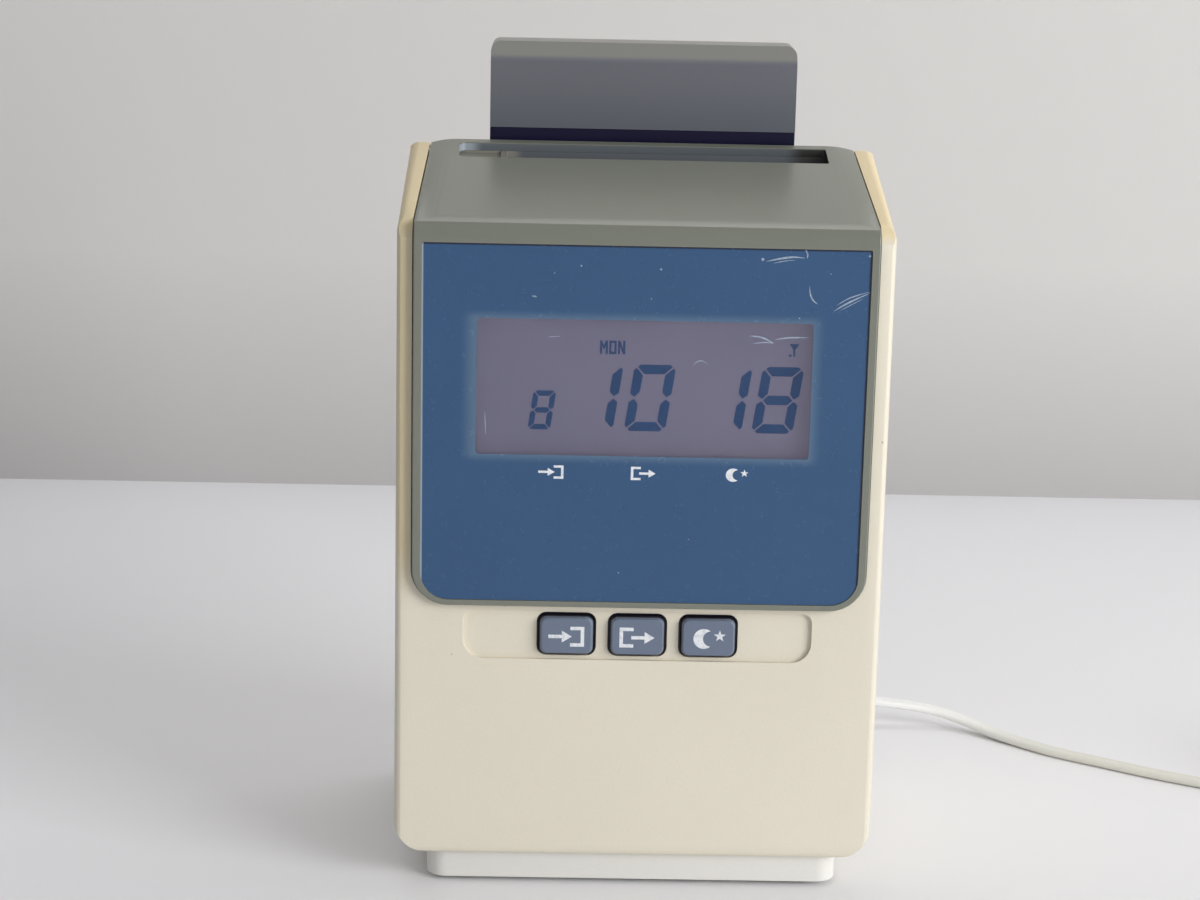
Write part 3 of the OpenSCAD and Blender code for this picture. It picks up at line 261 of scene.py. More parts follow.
lead_way = Vector((-sin(radians(coil_from)), cos(radians(coil_from)), 0))
coil_in = coil_point(0) - cord_width * lead_way
coil_out = coil_point(coil_turns) + cord_width * lead_way
tail = [coil_out]
for reach, share in tail_steps:
    point = coil_out + reach * lead_way
    point.z = plug_height + share * (coil_out.z - plug_height)
    tail.append(point)
centreline = (
    smoothed(route + [coil_in], route_steps)
    + [coil_point(i / turn_steps) for i in range(coil_turns * turn_steps + 1)]
    + smoothed(tail, route_steps)
)
centreline = [p / 1000 for p in centreline]


def poly_curve(name, points, closed):
    """A curve of straight steps through points."""
    data = bpy.data.curves.new(name, "CURVE")
    data.dimensions = "3D"
    line = data.splines.new("POLY")
    line.points.add(len(points) - 1)
    for spot, p in zip(line.points, points):
        spot.co = (*p, 1)
    line.use_cyclic_u = closed
    made = bpy.data.objects.new(name, data)
    scene.collection.objects.link(made)
    return made


# The cord's section, in metres: two cores side by side, each half the cord's width across
core = cord_thick / 2000
around = [radians(a) for a in range(-130, 131, 20)]
section = [(core + core * cos(a), core * sin(a), 0) for a in around]
section += [(-x, -y, 0) for x, y, z in section]
cord_section = poly_curve("cord_section", section, True)
cord_line = poly_curve("cord_line", centreline, False)
cord_line.data.twist_mode = "Z_UP"
cord_line.data.bevel_mode = "OBJECT"
cord_line.data.bevel_object = cord_section
cord_line.data.use_fill_caps = True
bpy.context.view_layer.update()
swept = bpy.data.meshes.new_from_object(cord_line.evaluated_get(bpy.context.evaluated_depsgraph_get()))
swept.name = "mains_cord"
for spare in (cord_line, cord_section):
    bpy.data.objects.remove(spare)
mesh = bmesh.new()
mesh.from_mesh(swept)
bmesh.ops.remove_doubles(mesh, verts=mesh.verts, dist=1e-6)
bmesh.ops.recalc_face_normals(mesh, faces=mesh.faces)
for face in mesh.faces:
    face.smooth = len(face.verts) == 4
mesh.to_mesh(swept)
swept.materials.clear()
mains_cord = bpy.data.objects.new("mains_cord", swept)
scene.collection.objects.link(mains_cord)


def effect(name, inputs, outputs):
    """A node group that more than one finish uses, with its named sockets."""
    group = bpy.data.node_groups.new(name, "ShaderNodeTree")
    for label, kind, value in inputs:
        socket = group.interface.new_socket(label, in_out="INPUT", socket_type="NodeSocket" + kind)
        socket.default_value = value
    for label, kind in outputs:
        group.interface.new_socket(label, in_out="OUTPUT", socket_type="NodeSocket" + kind)
    return group, group.nodes.new("NodeGroupInput").outputs, group.nodes.new("NodeGroupOutput").inputs


def noise(place, scale, detail=2, roughness=0.5):
    """Cloudy noise of a given fineness over the places on a piece."""
    grain = {"Vector": place, "Scale": scale, "Detail": detail, "Roughness": roughness}
    return step(place.id_data, "TexNoise", grain).outputs[0]


# The skin of a plastic moulding: a fine spark-eroded grain, cloudy tone, and specks of dirt
moulded_skin, given, result = effect(
    "moulded_skin",
    [("Colour", "Color", (0.8, 0.8, 0.8, 1)), ("Grain Scale", "Float", 1500), ("Clouds", "Float", 0.05),
     ("Gloss", "Float", 0.45), ("Rub", "Float", 0.06), ("Specks", "Float", 0.3)],
    [("Colour", "Color"), ("Roughness", "Float"), ("Height", "Float")],
)
place = step(moulded_skin, "TexCoord").outputs["Object"]
grain = noise(place, given["Grain Scale"])
cloud = noise(place, 26, 4, 0.6)
smear = noise(place, 160, 3)
speck = step(moulded_skin, "TexVoronoi", {"Vector": place, "Scale": 130}).outputs
dots = spread(speck["Distance"], 0.035, 0.075, 1, 0)
rare = reckon(step(moulded_skin, "SeparateColor", {0: speck["Color"]}).outputs[0], 0.9, "GREATER_THAN")
dirt = reckon(reckon(dots, rare, "MULTIPLY"), given["Specks"], "MULTIPLY")
shift = reckon(reckon(cloud, 0.5, "SUBTRACT"), given["Clouds"], "MULTIPLY_ADD", 1)
value = reckon(shift, spread(grain, 0, 1, 0.97, 1.03), "MULTIPLY")
toned = step(moulded_skin, "HueSaturation", {"Value": value, "Color": given["Colour"]}).outputs[0]
rough = reckon(spread(smear, 0.3, 0.7, -1, 1), given["Rub"], "MULTIPLY_ADD", given["Gloss"])
moulded_skin.links.new(blend(dirt, toned, tone(88, 76, 62)), result["Colour"])
moulded_skin.links.new(rough, result["Roughness"])
moulded_skin.links.new(grain, result["Height"])


def plastic(name, colour, grain=1500, clouds=0.05, gloss=0.45, specks=0.3, relief=0.00004, rub=0.06,
            more=()):
    """A moulded plastic: its colour in the skin's grain, and the grain as a fine relief."""
    made = new_finish(name, colour, gloss, more)
    values = {"Colour": colour, "Grain Scale": grain, "Clouds": clouds, "Gloss": gloss, "Rub": rub,
              "Specks": specks}
    skin = step(made.node_tree, "Group", values, node_tree=moulded_skin).outputs
    depth = {"Height": skin["Height"], "Strength": 0.6, "Distance": relief}
    vary(made, "Base Color", skin["Colour"])
    vary(made, "Roughness", skin["Roughness"])
    vary(made, "Normal", step(made.node_tree, "Bump", depth).outputs[0])
    return made


def ramp(value, start, end, most=1):
    """A soft mask that grows as a socket's value goes from start to end."""
    return spread(value, start, end, 0, most, "SMOOTHSTEP")


white_vinyl = plastic("white_vinyl", tone(239, 239, 237), grain=900, clouds=0.06, gloss=0.42, specks=0.25,
                      relief=0.00002, more={"Subsurface Weight": 0.05})
# Towards the right the cord is painted a darker, warmer white: painted shade on its far part
tinted(white_vinyl, ramp(spots(white_vinyl)["X"], 0.095, 0.165, 0.9), tone(226, 223, 212))
mains_cord.data.materials.append(white_vinyl)
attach(mains_cord, "housing")
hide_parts("cord_lead", "cord_coil", "cord_tail")

# Gland, plug and tie
# The gland and the plug are moulded in the cord's own white vinyl, with rounded edges. The blades are
# nickel-plated brass, and the tie is a strip of black nylon.
# An edge is sharp where its faces turn by more than this many degrees
sharp_edge = 32


def softened(name, width, segments=2, edge_angle=sharp_edge):
    """A copy of a CAD moulding whose edges are rounded as its tool leaves them; it stands for the node."""
    mesh = bmesh.new()
    mesh.from_mesh(nodes[name].data)
    bmesh.ops.remove_doubles(mesh, verts=mesh.verts, dist=2e-6)
    bmesh.ops.dissolve_limit(mesh, angle_limit=radians(0.5), verts=mesh.verts, edges=mesh.edges)
    for face in mesh.faces:
        face.smooth = True
    for edge in mesh.edges:
        edge.smooth = edge.calc_face_angle(0) < radians(edge_angle)
    data = bpy.data.meshes.new(name + "_looks")
    mesh.to_mesh(data)
    made = bpy.data.objects.new(name + "_looks", data)
    scene.collection.objects.link(made)
    rounding = made.modifiers.new("rounding", "BEVEL")
    rounding.width = width
    rounding.segments = segments
    rounding.limit_method = "ANGLE"
    rounding.angle_limit = radians(edge_angle)
    rounding.use_clamp_overlap = True
    rounding.harden_normals = True
    rounding.miter_outer = "MITER_ARC"
    for body, members in frame["record"]["behaviour"]["bodies"].items():
        if name in members:
            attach(made, body)
    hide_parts(name)
    return made


def dress(finish, *pieces):
    """Gives pieces a finish; a name is a CAD node that shows as it is."""
    for piece in pieces:
        shown = nodes[piece] if isinstance(piece, str) else piece
        shown.data.materials.clear()
        shown.data.materials.append(finish)


def metal(name, colour, roughness, along):
    """A plated or drawn metal with fine streaks along X, Y or Z, and a cloudy tarnish."""
    made = new_finish(name, colour, roughness, {"Metallic": 1})
    place = on_piece(made)
    stretch = [2200, 2200, 2200]
    stretch["XYZ".index(along)] = 60
    streaks = noise(step(made.node_tree, "Mapping", {"Vector": place, "Scale": stretch}).outputs[0], 1, 3)
    tarnish = spread(noise(place, 70, 5, 0.65), 0.3, 0.75, 0.86, 1.04)
    toned = step(made.node_tree, "HueSaturation", {"Value": tarnish, "Color": colour})
    depth = {"Height": streaks, "Strength": 0.15, "Distance": 0.00002}
    vary(made, "Base Color", toned.outputs[0])
    vary(made, "Roughness", spread(streaks, 0, 1, roughness - 0.05, roughness + 0.08))
    vary(made, "Normal", step(made.node_tree, "Bump", depth).outputs[0])
    return made


gland = softened("cord_gland", 0.0003)
plug = softened("plug_body", 0.0012, segments=3, edge_angle=20)
blades = softened("plug_blades", 0.0002)
tie = softened("coil_tie", 0.0002)
dress(white_vinyl, gland, plug)
plated_brass = metal("plated_brass", tone(214, 205, 182), roughness=0.28, along="Z")
dress(plated_brass, blades)
black_nylon = plastic("black_nylon", tone(40, 40, 44), grain=900, clouds=0.1, gloss=0.5, specks=0)
dress(black_nylon, tie)

# Plinth and feet
# The plinth is a white moulded tray, screwed under the body. Four feet of black rubber are stuck in its
# recesses.
plinth_white = plastic("plinth_white", tone(224, 222, 216), grain=1300, clouds=0.05, gloss=0.5, specks=0.4)
dress(plinth_white, softened("base_plinth", 0.0007, segments=3))
foot_rubber = plastic("foot_rubber", tone(44, 43, 44), grain=700, clouds=0.15, gloss=0.8, specks=0.6,
                      relief=0.0001)
dress(foot_rubber, softened("rubber_feet", 0.0006))

# Case
# Front and rear halves moulded in cream styrene with a fine grain, yellowed a little by the years, and
# joined by four screws from the back.
slope_angle = 10.9
slope_rise = 0.19257
case_cream = plastic("case_cream", tone(224, 217, 199), grain=1400, clouds=0.05, gloss=0.46, specks=0.55,
                     relief=0.00005)
# Light from above has yellowed the sloping cheeks
spot = spots(case_cream)
above_slope = reckon(spot["Y"], -slope_rise, "MULTIPLY_ADD", spot["Z"])
tinted(case_cream, ramp(above_slope, 0.2042, 0.2078, 0.85), tone(224, 205, 160))
# The strip at the left edge beside the cover is painted darker and yellower: painted shade, where the
# cover's proud frame stands between it and the window light
left_strip_shade = reckon(ramp(spot["X"], -0.0652, -0.068, 0.85), ramp(spot["X"], -0.0709, -0.0699), "MULTIPLY")
left_strip_shade = reckon(left_strip_shade, ramp(spot["Y"], -0.03, -0.042), "MULTIPLY")
left_strip_shade = reckon(left_strip_shade, ramp(spot["Z"], 0.086, 0.106), "MULTIPLY")
tinted(case_cream, left_strip_shade, tone(214, 199, 160))
# The rounding of the cheeks' outer edges follows their bend, and grows from the front to the slope
case_low, case_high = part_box("front_case")
bend_round = 0.007
front_round, slope_round = 0.002, 0.003
bend_axis = Vector((case_low.y + bend_round, 0.194))
bend_turn = radians(90 - slope_angle)


def follow_bend(piece):
    """Draws in the corners of the cheeks that stand outside that rounding."""
    mesh = bmesh.new()
    mesh.from_mesh(piece.data)
    for corner in mesh.verts:
        out = corner.co.yz - bend_axis
        share = atan2(out.y, -out.x) / bend_turn
        radius = front_round + (slope_round - front_round) * share
        inset = Vector((out.length - bend_round + radius, abs(corner.co.x) - case_high.x + radius))
        if 0 <= share <= 1 and min(inset) > 0 and inset.length > radius:
            inset *= radius / inset.length
            corner.co.yz = bend_axis + out * (bend_round - radius + inset.x) / out.length
            corner.co.x = copysign(case_high.x - radius + inset.y, corner.co.x)
    for edge in mesh.edges:
        edge.smooth = edge.calc_face_angle(0) < radians(sharp_edge)
    mesh.to_mesh(piece.data)
    return piece


front_case = follow_bend(softened("front_case", 0.0006, segments=3))
dress(case_cream, front_case, softened("rear_case", 0.0006, segments=3))
zinc_steel = metal("zinc_steel", tone(186, 190, 194), roughness=0.36, along="Z")
dress(zinc_steel, "case_screws")

# Chassis
# Zinc-plated sheet steel, cut and folded: the pan, two side plates, the card guides and the plate that
# carries the display. The motors' cans are plated too, and ground steel shafts turn in brass bushes.
dress(zinc_steel, "chassis_pan", "left_plate", "right_plate", "card_guide_front", "card_guide_rear")
dress(zinc_steel, "display_bracket", "carriage_motor", "feed_motor")
bush_brass = metal("bush_brass", tone(190, 158, 100), roughness=0.32, along="X")
dress(bush_brass, "shaft_bushes")
bright_steel = metal("bright_steel", tone(200, 203, 206), roughness=0.24, along="X")
dress(bright_steel, "guide_shaft", "feed_shaft", "pinch_shaft", "hinge_pins")

# Boards
# Glass-fibre boards with a green solder mask over copper tracks, which show as a paler relief. They carry
# black moulded parts, and beside them are the backup battery and the transformer with its taped coil.
solder_mask = new_finish("solder_mask", tone(34, 86, 58), 0.3)
bare, track = (0, 0, 0, 1), (1, 1, 1, 1)
layout = {"Vector": on_piece(solder_mask), "Scale": 140, "Mortar Size": 0.03,
          "Color1": bare, "Color2": bare, "Mortar": track}
tracks = step(solder_mask.node_tree, "TexBrick", layout).outputs[0]
raised = step(solder_mask.node_tree, "Bump", {"Height": tracks, "Strength": 0.3, "Distance": 0.00005})
tinted(solder_mask, tracks, tone(70, 128, 84))
vary(solder_mask, "Normal", raised.outputs[0])
dress(solder_mask, "control_board", "key_board", "radio_board")
black_plastic = plastic("black_plastic", tone(34, 34, 38), grain=1200, clouds=0.12, gloss=0.42, specks=0.2)
dress(black_plastic, "board_parts", "key_switches")
battery_sleeve = plastic("battery_sleeve", tone(58, 104, 160), grain=500, clouds=0.1, gloss=0.25,
                         specks=0.1)
dress(battery_sleeve, "backup_battery")
varnished_iron = metal("varnished_iron", tone(92, 92, 98), roughness=0.45, along="Z")
dress(varnished_iron, "transformer_core", "ferrite_rod")
winding_tape = plastic("winding_tape", tone(188, 140, 52), grain=500, clouds=0.15, gloss=0.35, specks=0.1)
dress(winding_tape, "transformer_coil")

# Display
# A liquid crystal glass between polarisers, mauve grey, in a holder of white acetal. Its blue digits are
# flat shapes that lie just before the glass.
polariser = new_finish("polariser", tone(97, 93, 110), 0.5, {"Specular IOR Level": 0.12})
tinted(polariser, noise(on_piece(polariser), 30, 3), tone(106, 101, 117))
dress(polariser, "lcd_glass")
acetal = plastic("acetal", tone(226, 226, 220), grain=800, clouds=0.05, gloss=0.38, specks=0.15)
dress(acetal, "lcd_holder")
digit_blue = new_finish("digit_blue", tone(21, 50, 86), 0.5, {"Specular IOR Level": 0.12})
tinted(digit_blue, noise(on_piece(digit_blue), 60), tone(29, 58, 94))
# Flat shapes are drawn in millimetres, with Y from the case's front face, and then set in the frame
millimetre = Matrix.Scale(0.001, 4)
case_front = -47.75
lcd_face = case_front + 3
ink_depth, ink_proud = 0.03, 0.04


def tube(mesh, rings):
    """A closed shape through rings that have as many corners each, with a face over both ends."""
    rows = [[mesh.verts.new(p) for p in ring] for ring in rings]
    for row, further in zip(rows, rows[1:]):
        for i in range(len(row)):
            mesh.faces.new((row[i - 1], row[i], further[i], further[i - 1]))
    mesh.faces.new(rows[0])
    mesh.faces.new(rows[-1])


def flat_shape(mesh, outline, depth, place):
    """One flat shape from its corners in X and Z, given the depth of a print and set in place."""
    tube(mesh, [[place @ Vector((x, y, z)) for x, z in outline] for y in (0, depth)])


def printed(name, mesh, finish, body):
    """Makes a mesh of flat shapes a piece of the part."""
    bmesh.ops.recalc_face_normals(mesh, faces=mesh.faces)
    data = bpy.data.meshes.new(name)
    mesh.to_mesh(data)
    made = bpy.data.objects.new(name, data)
    scene.collection.objects.link(made)
    made.data.materials.append(finish)
    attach(made, body)
    return made


# The seven strokes: the shape of each, and how it is mirrored across and up in its cell
strokes = {"a": ("level", 1, 1), "b": ("upright", -1, 1), "c": ("upright", -1, -1), "d": ("level", 1, -1),
           "e": ("upright", 1, -1), "f": ("upright", 1, 1), "g": ("middle", 1, 1)}
shown_on = {"0": "abcdef", "1": "bc", "8": "abcdefg"}
digit_low = 139.8
lean = Matrix(((1, 0, 0.145, 0), (0, 1, 0, 0), (0, 0, 1, 0), (0, 0, 0, 1)))


def digit(mesh, which, left, wide, tall, bar):
    """A slanted digit of seven mitred strokes with hair gaps between them, in millimetres on the glass."""
    gap, cut = 0.12 * bar, 0.6 * bar
    near, far = (cut - gap) / 2, (cut + gap) / 2
    x, z = wide / 2, tall / 2
    shapes = {
        "level": [(far - x, z - near), (cut - x, z), (x - cut, z), (x - far, z - near),
                  (x - bar - gap, z - bar), (bar + gap - x, z - bar)],
        "upright": [(-x, z - cut), (near - x, z - far), (bar - x, z - bar - gap),
                    (bar - x, gap + 0.55 * bar), (bar / 2 - x, gap), (-x, gap + 0.35 * bar)],
        "middle": [(bar / 2 + gap - x, 0), (bar + gap - x, bar / 2), (x - bar - gap, bar / 2),
                   (x - bar / 2 - gap, 0), (x - bar - gap, -bar / 2), (bar + gap - x, -bar / 2)],
    }
    cell = Matrix.Translation((left, 0, digit_low)) @ lean @ Matrix.Translation((x, 0, z))
    for name in shown_on[which]:
        shape, across, up = strokes[name]
        flat_shape(mesh, shapes[shape], ink_depth, cell @ Matrix.Diagonal((across, 1, up, 1)))


mesh = bmesh.new()
digit(mesh, "8", -33.1, wide=6.5, tall=11.5, bar=1.6)
for which, left in (("1", -20.5), ("0", -5.4), ("1", 16.5), ("8", 31.3)):
    digit(mesh, which, left, wide=11.9, tall=19.6, bar=2.75)
# The day of the week, and a small mast that shows that the radio time has come in
letters = [
    [(0, 0), (0.7, 0), (0.7, 2.5), (1.3, 1.2), (1.9, 2.5), (1.9, 0), (2.6, 0), (2.6, 4), (1.9, 4),
     (1.3, 2.5), (0.7, 4), (0, 4)],
    [(3.1, 0), (3.8, 0), (3.8, 4), (3.1, 4)],
    [(4.8, 0), (5.5, 0), (5.5, 4), (4.8, 4)],
    [(3.85, 0), (4.75, 0), (4.75, 0.7), (3.85, 0.7)],
    [(3.85, 3.3), (4.75, 3.3), (4.75, 4), (3.85, 4)],
    [(6, 0), (6.7, 0), (6.7, 2.4), (7.7, 0), (8.4, 0), (8.4, 4), (7.7, 4), (7.7, 1.6), (6.7, 4), (6, 4)],
]
weekday_place = Matrix.Translation((-12.7, 0, 162.3)) @ Matrix.Diagonal((0.86, 1, 0.98, 1))
for outline in letters:
    flat_shape(mesh, outline, ink_depth, weekday_place)
mast = [(1.25, 0), (1.75, 0), (1.75, 1.9), (2.9, 3.7), (0.1, 3.7), (1.25, 1.9)]
foot = [(0, 0), (0.8, 0), (0.8, 0.6), (0, 0.6)]
for outline in (mast, foot):
    flat_shape(mesh, outline, ink_depth, Matrix.Translation((41.4, 0, 162.5)))
bmesh.ops.transform(mesh, verts=mesh.verts,
                    matrix=millimetre @ Matrix.Translation((0, lcd_face - ink_proud, 0)))
printed("lcd_digits", mesh, digit_blue, "housing")

# Print and feed works
# The gears and the pinch rollers are natural acetal, which is white and slippery. The feed rollers and the
# platen are rubber, and the print head rides on a black moulded carriage.
dress(acetal, "screw_gear", "carriage_pinion", "feed_gear", "feed_pinion", "pinch_rollers")
dress(foot_rubber, "platen_strip", "feed_rollers")
dress(black_plastic, "head_carriage")
dress(varnished_iron, "print_head")
# The drive screw is rolled steel with four starts of thread, left-handed, that climb 20 mm in a turn
thread_starts, thread_climb, thread_length, thread_steps = 4, 20, 108, 216
thread_turns = thread_length / thread_climb
thread_radius, rod_radius, round_steps = 2.95, 3, 40
groove_share, groove_flank = 0.2, 1.2
rod_ends = ((-66.5, 12.5), (54, 8.8))
screw_place = (0, -15.75, 168)
# The corners of a ring run the way the thread winds
round_angles = [-2 * pi * i / round_steps for i in range(round_steps)]
grooves = [climb(0.5 - groove_flank * cos(thread_starts * a)) for a in round_angles]
thread_radii = [thread_radius * (1 - groove_share * groove) for groove in grooves]


def screw_ring(along, radii, turn=0):
    """Corners about the screw's axis, at even angles and each at its own radius."""
    return [(along, r * cos(a + turn), r * sin(a + turn)) for a, r in zip(round_angles, radii)]


mesh = bmesh.new()
rings = []
for i in range(thread_steps + 1):
    share = i / thread_steps
    rings.append(screw_ring(thread_length * (share - 0.5), thread_radii, -2 * pi * thread_turns * share))
tube(mesh, rings)
for start, length in rod_ends:
    tube(mesh, [screw_ring(along, [rod_radius] * round_steps) for along in (start, start + length)])
bmesh.ops.transform(mesh, verts=mesh.verts, matrix=millimetre @ Matrix.Translation(screw_place))
thread = printed("drive_screw_looks", mesh, bright_steel, "screw")
for face in thread.data.polygons:
    face.use_smooth = len(face.vertices) == 4
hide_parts("drive_screw")

# Ribbon
# A black moulded cassette with an inked fabric band across the print line, and a blue knob with which slack
# is taken up by hand.
dress(black_plastic, softened("ribbon_cassette", 0.0005))
inked_band = plastic("inked_band", tone(52, 44, 88), grain=2500, clouds=0.25, gloss=0.85, specks=0,
                     relief=0.0001)
dress(inked_band, "ribbon_band")
knob_blue = plastic("knob_blue", tone(58, 104, 160), grain=1200, clouds=0.06, gloss=0.35, specks=0.1)
dress(knob_blue, softened("ribbon_knob", 0.0003))

# Keys
# Three grey caps moulded hollow, with rounded shoulders and a white sign printed on each: an arrow in at
# a door, an arrow out of it, and a moon and star for work through the night.
key_grey = plastic("key_grey", tone(105, 117, 136), grain=1800, clouds=0.03, gloss=0.38, specks=0.1,
                   relief=0.00003, rub=0.03)
# The skirts of the caps are painted dark where they go into the holes: painted shade in the gaps round the
# keys
tinted(key_grey, ramp(spots(key_grey)["Y"], -0.0479, -0.0476), tone(30, 29, 44))
door = [(1.2, 3.2), (1.2, 2.1), (4.4, 2.1), (4.4, -2.1), (1.2, -2.1), (1.2, -3.2), (5.5, -3.2), (5.5, 3.2)]
arrow = [(-5.5, -0.55), (-1.4, -0.55), (-1.4, -1.9), (1.7, 0), (-1.4, 1.9), (-1.4, 0.55), (-5.5, 0.55)]
moon = [(3.2 * cos(radians(a)) - 1.4, 3.2 * sin(radians(a))) for a in range(50, 311, 13)]
moon += [(2.46 * cos(radians(a)) + 0.8, 2.46 * sin(radians(a))) for a in range(258, 101, -13)]
star = []
for i in range(10):
    reach = 0.75 if i % 2 else 1.9
    star.append((3.5 + reach * cos(radians(90 + 36 * i)), 0.9 + reach * sin(radians(90 + 36 * i))))
signs = {
    "left_key": [door, arrow],
    "middle_key": [[(-x, z) for x, z in door], [(x + 3.6, z) for x, z in arrow]],
    "right_key": [moon, star],
}
sign_white = new_finish("sign_white", tone(206, 211, 218), 0.5)
tinted(sign_white, spread(noise(on_piece(sign_white), 900, 4), 0.35, 0.55, 0, 1), tone(230, 232, 235))
key_pitch, key_height, sign_size = 20.75, 78.6, 0.95
key_face = case_front - 1
sign_depth, sign_proud = 0.05, 0.03
for i, name in enumerate(signs):
    dress(key_grey, softened(name, 0.0009, segments=4, edge_angle=20))
    mesh = bmesh.new()
    for outline in signs[name]:
        flat_shape(mesh, outline, sign_depth, Matrix.Identity(4))
    place = Matrix.Translation((key_pitch * (i - 1), key_face - sign_proud, key_height))
    size = Matrix.Diagonal((sign_size, 1, sign_size, 1))
    bmesh.ops.transform(mesh, verts=mesh.verts, matrix=millimetre @ place @ size)
    printed(name + "_sign", mesh, sign_white, name)

# Cover
# One grey moulding that wraps the front and the sloping top, with a fine satin grain. The clear pane is
# set in its front, and the blue film is stuck on the pane.
cover_grey = plastic("cover_grey", tone(116, 119, 107), grain=2200, clouds=0.01, gloss=0.3, specks=0.05,
                     relief=0.00001, rub=0, more={"Specular IOR Level": 0.9})
# The sides of the slot are in the mouth's bluish grey: they lie under the slope, within the slot's outline.
# The slot is paler over the shelf at its left, a painted highlight where the window light falls in, and
# darker at its right end, painted shade from the slot's right end wall.
slot_grey, slot_shelf_highlight = tone(90, 97, 102), tone(150, 160, 168)
slot_end_shade, shelf_grey = tone(42, 41, 38), tone(124, 123, 113)
slot_top, slot_half_wide, slot_middle, slot_half_deep = 0.2099, 0.0558, 0.0125, 0.0069
spot = spots(cover_grey)
under_slope = reckon(spot["Y"], -slope_rise, "MULTIPLY_ADD", spot["Z"])
deep = reckon(under_slope, slot_top, "LESS_THAN")
across = reckon(reckon(spot["X"], 0, "ABSOLUTE"), slot_half_wide, "LESS_THAN")
along = reckon(spot["Y"], slot_middle, "COMPARE", slot_half_deep)
inside = reckon(reckon(deep, across, "MULTIPLY"), along, "MULTIPLY")
tinted(cover_grey, inside, slot_grey)
tinted(cover_grey, reckon(inside, ramp(spot["X"], 0.043, 0.0495), "MULTIPLY"), slot_end_shade)
tinted(cover_grey, reckon(inside, ramp(spot["X"], -0.0485, -0.053), "MULTIPLY"), slot_shelf_highlight)


def rolled(piece, width, chosen):
    """Rounds wide the edges of a piece that are chosen by their ends and the ways their faces look."""
    mesh = bmesh.new()
    mesh.from_mesh(piece.data)
    edges = []
    for edge in mesh.edges:
        if len(edge.link_faces) == 2:
            ends = [corner.co for corner in edge.verts]
            ways = [face.normal for face in edge.link_faces]
            if chosen(*ends, *ways) or chosen(*ends, *ways[::-1]):
                edges.append(edge)
    bmesh.ops.bevel(mesh, geom=edges, offset=width, segments=5, profile=0.5, affect="EDGES", material=-1,
                    clamp_overlap=True)
    for face in mesh.faces:
        face.smooth = True
    mesh.to_mesh(piece.data)
    return piece


cover_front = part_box("cover_shell")[0].y
rim_round = 0.0013


def cover_rim(one, two, front, side):
    """The outer edges of the cover's front, at both sides and below, up into the bend."""
    outward = side.x * one.x > 0 and abs(side.x) > 0.3 or side.z < -0.5 and one.z < 0.12
    return front.y < -0.6 and abs(side.y) < 0.2 and outward and max(one.y, two.y) < cover_front + 0.003


dress(cover_grey, rolled(softened("cover_shell", 0.0006, segments=3), rim_round, cover_rim))
mouth_grey = plastic("mouth_grey", tone(80, 86, 91), grain=1500, clouds=0.06, gloss=0.5, specks=0.3)
# The mouth is painted dark at its right end too: painted shade in the slot
tinted(mouth_grey, ramp(spots(mouth_grey)["X"], 0.042, 0.0495), slot_end_shade)
tinted(mouth_grey, ramp(spots(mouth_grey)["X"], -0.036, -0.04), shelf_grey)
dress(mouth_grey, softened("card_mouth", 0.0003))
# Light goes straight through the pane and the film, to the display behind them
pane_clear = new_finish("pane_clear", (0.95, 0.97, 1, 1), 0, {"Transmission Weight": 1, "IOR": 1.3})
cleared(pane_clear, step(pane_clear.node_tree, "LightPath").outputs["Is Shadow Ray"])
dress(pane_clear, "cover_pane")
# The film is printed in dark blue that fades out round the display, and is a little scuffed
film_blue = new_finish("film_blue", tone(44, 79, 117), 0.26)
place = on_piece(film_blue)
spot = spots(film_blue)
window_middle, window_height = -0.0006, 0.1532
aside = reckon(reckon(spot["X"], window_middle, "SUBTRACT"), 0, "ABSOLUTE")
above = reckon(reckon(spot["Z"], window_height, "SUBTRACT"), 0, "ABSOLUTE")
faded = reckon(ramp(aside, 0.0522, 0.0472), ramp(above, 0.0226, 0.0194), "MULTIPLY")
tinted(film_blue, noise(place, 22, 4), tone(49, 85, 124))
tinted(film_blue, faded, tone(84, 110, 136))
wavy = step(film_blue.node_tree, "Bump", {"Height": noise(place, 35), "Strength": 0.08, "Distance": 0.0004})
vary(film_blue, "Roughness", spread(noise(place, 240, 5, 0.7), 0.3, 0.75, 0.22, 0.3))
vary(film_blue, "Normal", wavy.outputs[0])
# Painted shade lies along its top and right edges, where the frame's lip shades the film, and a painted
# highlight along its left edge, where the frame's inner wall catches the window light
film_low, film_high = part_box("panel_film")
frame_edge_shade = reckon(ramp(spot["Z"], film_high.z - 0.0006, film_high.z - 0.0003),
                   ramp(spot["X"], film_high.x - 0.0007, film_high.x - 0.0003), "MAXIMUM")
tinted(film_blue, frame_edge_shade, tone(24, 34, 58))
tinted(film_blue, ramp(spot["X"], film_low.x + 0.0006, film_low.x + 0.0003, 0.8), tone(168, 176, 184))
cleared(film_blue, step(film_blue.node_tree, "LightPath").outputs["Is Shadow Ray"])
dress(film_blue, "panel_film")

# Signs under the display
# The same three signs stand in white under the display, above their keys. They are printed on the face of
# the film, at about two thirds of their size on the keys.
film_face = case_front - 2.15
sign_height = 128.4
smaller = Matrix.Diagonal((0.66, 1, 0.62, 1))
mesh = bmesh.new()
for name, across in (("left_key", -26.1), ("middle_key", 0.5), ("right_key", 27.2)):
    for outline in signs[name]:
        flat_shape(mesh, outline, sign_depth, Matrix.Translation((across, 0, sign_height)) @ smaller)
bmesh.ops.transform(mesh, verts=mesh.verts,
                    matrix=millimetre @ Matrix.Translation((0, film_face - sign_proud, 0)))
printed("film_signs", mesh, sign_white, "cover")

